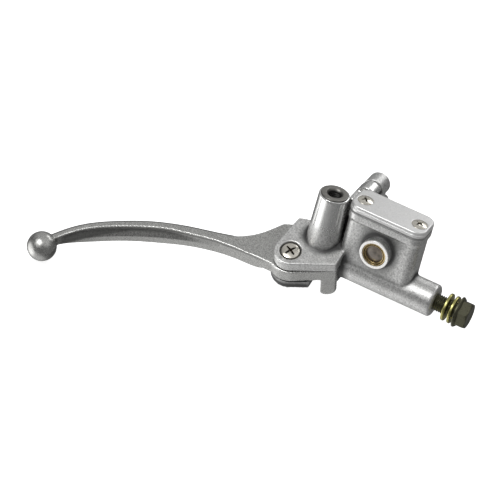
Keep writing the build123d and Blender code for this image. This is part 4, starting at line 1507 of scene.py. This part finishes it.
@dataclass
class InnerGroup:
    """Parts that are hardly seen: piston set, boot, seals and plate."""

    layout: Layout

    def build(self) -> list[Fitted]:
        """A modelled boot, and CAD nodes with their finishes."""
        _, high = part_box("dust_boot")
        mouth = self.layout.bore.moved(high.x - 3.1 * MM - self.layout.bore.origin.x)
        boot = Boot(mouth, 3.4 * MM, (high.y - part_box("dust_boot")[0].y) / 2)
        self._dress("piston", PISTON_ALLOY)
        for node in ("diaphragm", "primary_cup", "secondary_cup", "sight_glass_seal"):
            self._dress(node, BLACK_RUBBER)
        for node in ("return_spring", "circlip", "stop_washer"):
            self._dress(node, SPRING_STEEL)
        self._dress("diaphragm_plate", WHITE_PLASTIC)
        return [Fitted(boot.build(), BLACK_RUBBER, HOUSING, "black_rubber", ("dust_boot",))]

    def _dress(self, node: str, finish: MetalFinish) -> None:
        """Gives a CAD node a finish."""
        data = frame["nodes"][node].data
        data.materials.clear()
        data.materials.append(finish.material())


# ---------------------------------------------------------------- studio
@dataclass(frozen=True)
class Lamp:
    """A soft area light.

    Args:
        name: its name.
        place: where it stands.
        size: width and height of its face.
        power: its power in watts.
        tint: its colour.
    """

    name: str
    place: tuple[float, float, float]
    size: tuple[float, float]
    power: float
    tint: tuple[float, float, float] = (1.0, 1.0, 1.0)

    def switch_on(self, target: Vector) -> None:
        """Adds the light, facing the target."""
        data = bpy.data.lights.new(self.name, "AREA")
        data.shape = "RECTANGLE"
        data.size, data.size_y = self.size
        data.energy = self.power
        data.color = self.tint
        lamp = bpy.data.objects.new(self.name, data)
        lamp.location = self.place
        lamp.rotation_mode = "QUATERNION"
        lamp.rotation_quaternion = (target - Vector(self.place)).to_track_quat("-Z", "Y")
        bpy.context.scene.collection.objects.link(lamp)


@dataclass(frozen=True)
class Glow:
    """A soft bright patch of the surroundings.

    Args:
        toward: the patch's direction from the object.
        strength: how bright its middle is.
        core: angle in degrees within which it is brightest.
        reach: angle in degrees where it ends.
    """

    toward: tuple[float, float, float]
    strength: float
    core: float
    reach: float

    def add(self, n: Nodes, ray: bpy.types.NodeSocket) -> bpy.types.NodeSocket:
        """Adds the patch's nodes: strength times a smooth step of the angle's cosine."""
        middle = Vector(self.toward).normalized()
        dot = n.add("ShaderNodeVectorMath", {0: ray, 1: middle}, operation="DOT_PRODUCT")
        cosine = dot.outputs["Value"]
        step = n.add(
            "ShaderNodeMapRange",
            {
                "Value": cosine,
                "From Min": math.cos(math.radians(self.reach)),
                "From Max": math.cos(math.radians(self.core)),
                "To Max": self.strength,
            },
            interpolation_type="SMOOTHSTEP",
        )
        return step.outputs["Result"]


@dataclass
class Studio:
    """Camera, floor, lights and surroundings.

    Args:
        target: the point in the picture's middle.
        toward: direction from the target to the camera.
        up: the picture's up direction.
        distance: how far away the camera stands.
        width: how wide the view is at the target.
        dim: brightness of the surroundings between the glows.
        glows: the bright patches round the object.
    """

    target: Vector = field(default_factory=lambda: Vector((-0.04315, -0.0554, -0.0151)))
    toward: Vector = field(default_factory=lambda: Vector((0.2637, -0.7815, 0.5655)))
    up: Vector = field(default_factory=lambda: Vector((-0.4032, 0.4433, 0.8007)))
    distance: float = 1.6
    width: float = 0.2778
    dim: float = 0.16
    glows: tuple[Glow, ...] = (
        Glow((-0.26, -0.62, 0.74), 1.15, 8, 34),
        Glow((-0.26, 0.55, 0.80), 0.34, 15, 60),
        Glow((-0.78, -0.38, -0.50), 1.6, 10, 42),
        Glow((-0.20, -0.30, -0.93), 0.5, 15, 55),
        Glow((0.55, -0.10, 0.83), 0.5, 10, 40),
    )

    def build(self) -> None:
        """Sets up everything round the object."""
        self._camera()
        self._floor()
        self._surroundings()
        for lamp in (
            Lamp("key", (-0.45, -0.75, 1.05), (0.5, 0.4), 5.0),
            Lamp("rim", (0.15, 0.85, 0.75), (0.7, 0.25), 1.6),
        ):
            lamp.switch_on(self.target)

    def _camera(self) -> None:
        """Places the camera, rolled to the picture's up direction."""
        data = bpy.data.cameras.new("camera")
        data.sensor_width = 36.0
        data.lens = data.sensor_width * self.distance / self.width
        data.clip_start = 0.05
        data.clip_end = 20
        camera = bpy.data.objects.new("camera", data)
        back = self.toward.normalized()
        right = self.up.cross(back).normalized()
        turn = Matrix((right, back.cross(right), back)).transposed()
        camera.matrix_world = Matrix.Translation(self.target + back * self.distance) @ turn.to_4x4()
        bpy.context.scene.collection.objects.link(camera)
        bpy.context.scene.camera = camera

    def _floor(self) -> None:
        """A plain white floor under the object."""
        low, _ = CAD_BOX
        half = 6.0
        level = low.z - 1 * MM
        signs = ((-1, -1), (1, -1), (1, 1), (-1, 1))
        corners = np.array([(x * half, y * half, level) for x, y in signs])
        floor = mesh_object("floor", corners, [(0, 1, 2, 3)])
        material = bpy.data.materials.new("floor_white")
        material.use_nodes = True
        shader = material.node_tree.nodes["Principled BSDF"]
        shader.inputs["Base Color"].default_value = (0.9, 0.9, 0.9, 1)
        shader.inputs["Roughness"].default_value = 1.0
        shader.inputs["Specular IOR Level"].default_value = 0.0
        shader.inputs["Emission Color"].default_value = (1, 1, 1, 1)
        shader.inputs["Emission Strength"].default_value = 0.75
        floor.data.materials.append(material)
        floor.visible_glossy = False

    def _surroundings(self) -> None:
        """A dim world with soft glows, which polished faces reflect."""
        world = bpy.data.worlds.new("studio")
        world.use_nodes = True
        n = Nodes(world.node_tree)
        background = n.tree.nodes["Background"]
        ray = n.add("ShaderNodeTexCoord").outputs["Generated"]
        total: object = self.dim
        for glow in self.glows:
            total = n.math("ADD", total, glow.add(n, ray))
        n.tree.links.new(total, background.inputs["Color"])
        scene = bpy.context.scene
        scene.world = world
        scene.view_settings.view_transform = "Standard"
        scene.view_settings.look = "None"


def main() -> None:
    """Builds every group and the studio."""
    layout = Layout.read()
    for group in (BodyGroup, ReservoirGroup, LeverGroup, HoseGroup, ClampGroup, InnerGroup):
        for part in group(layout).build():
            part.settle()
    Studio().build()


if __name__ == "__main__":
    logging.basicConfig(level=logging.INFO)
    main()
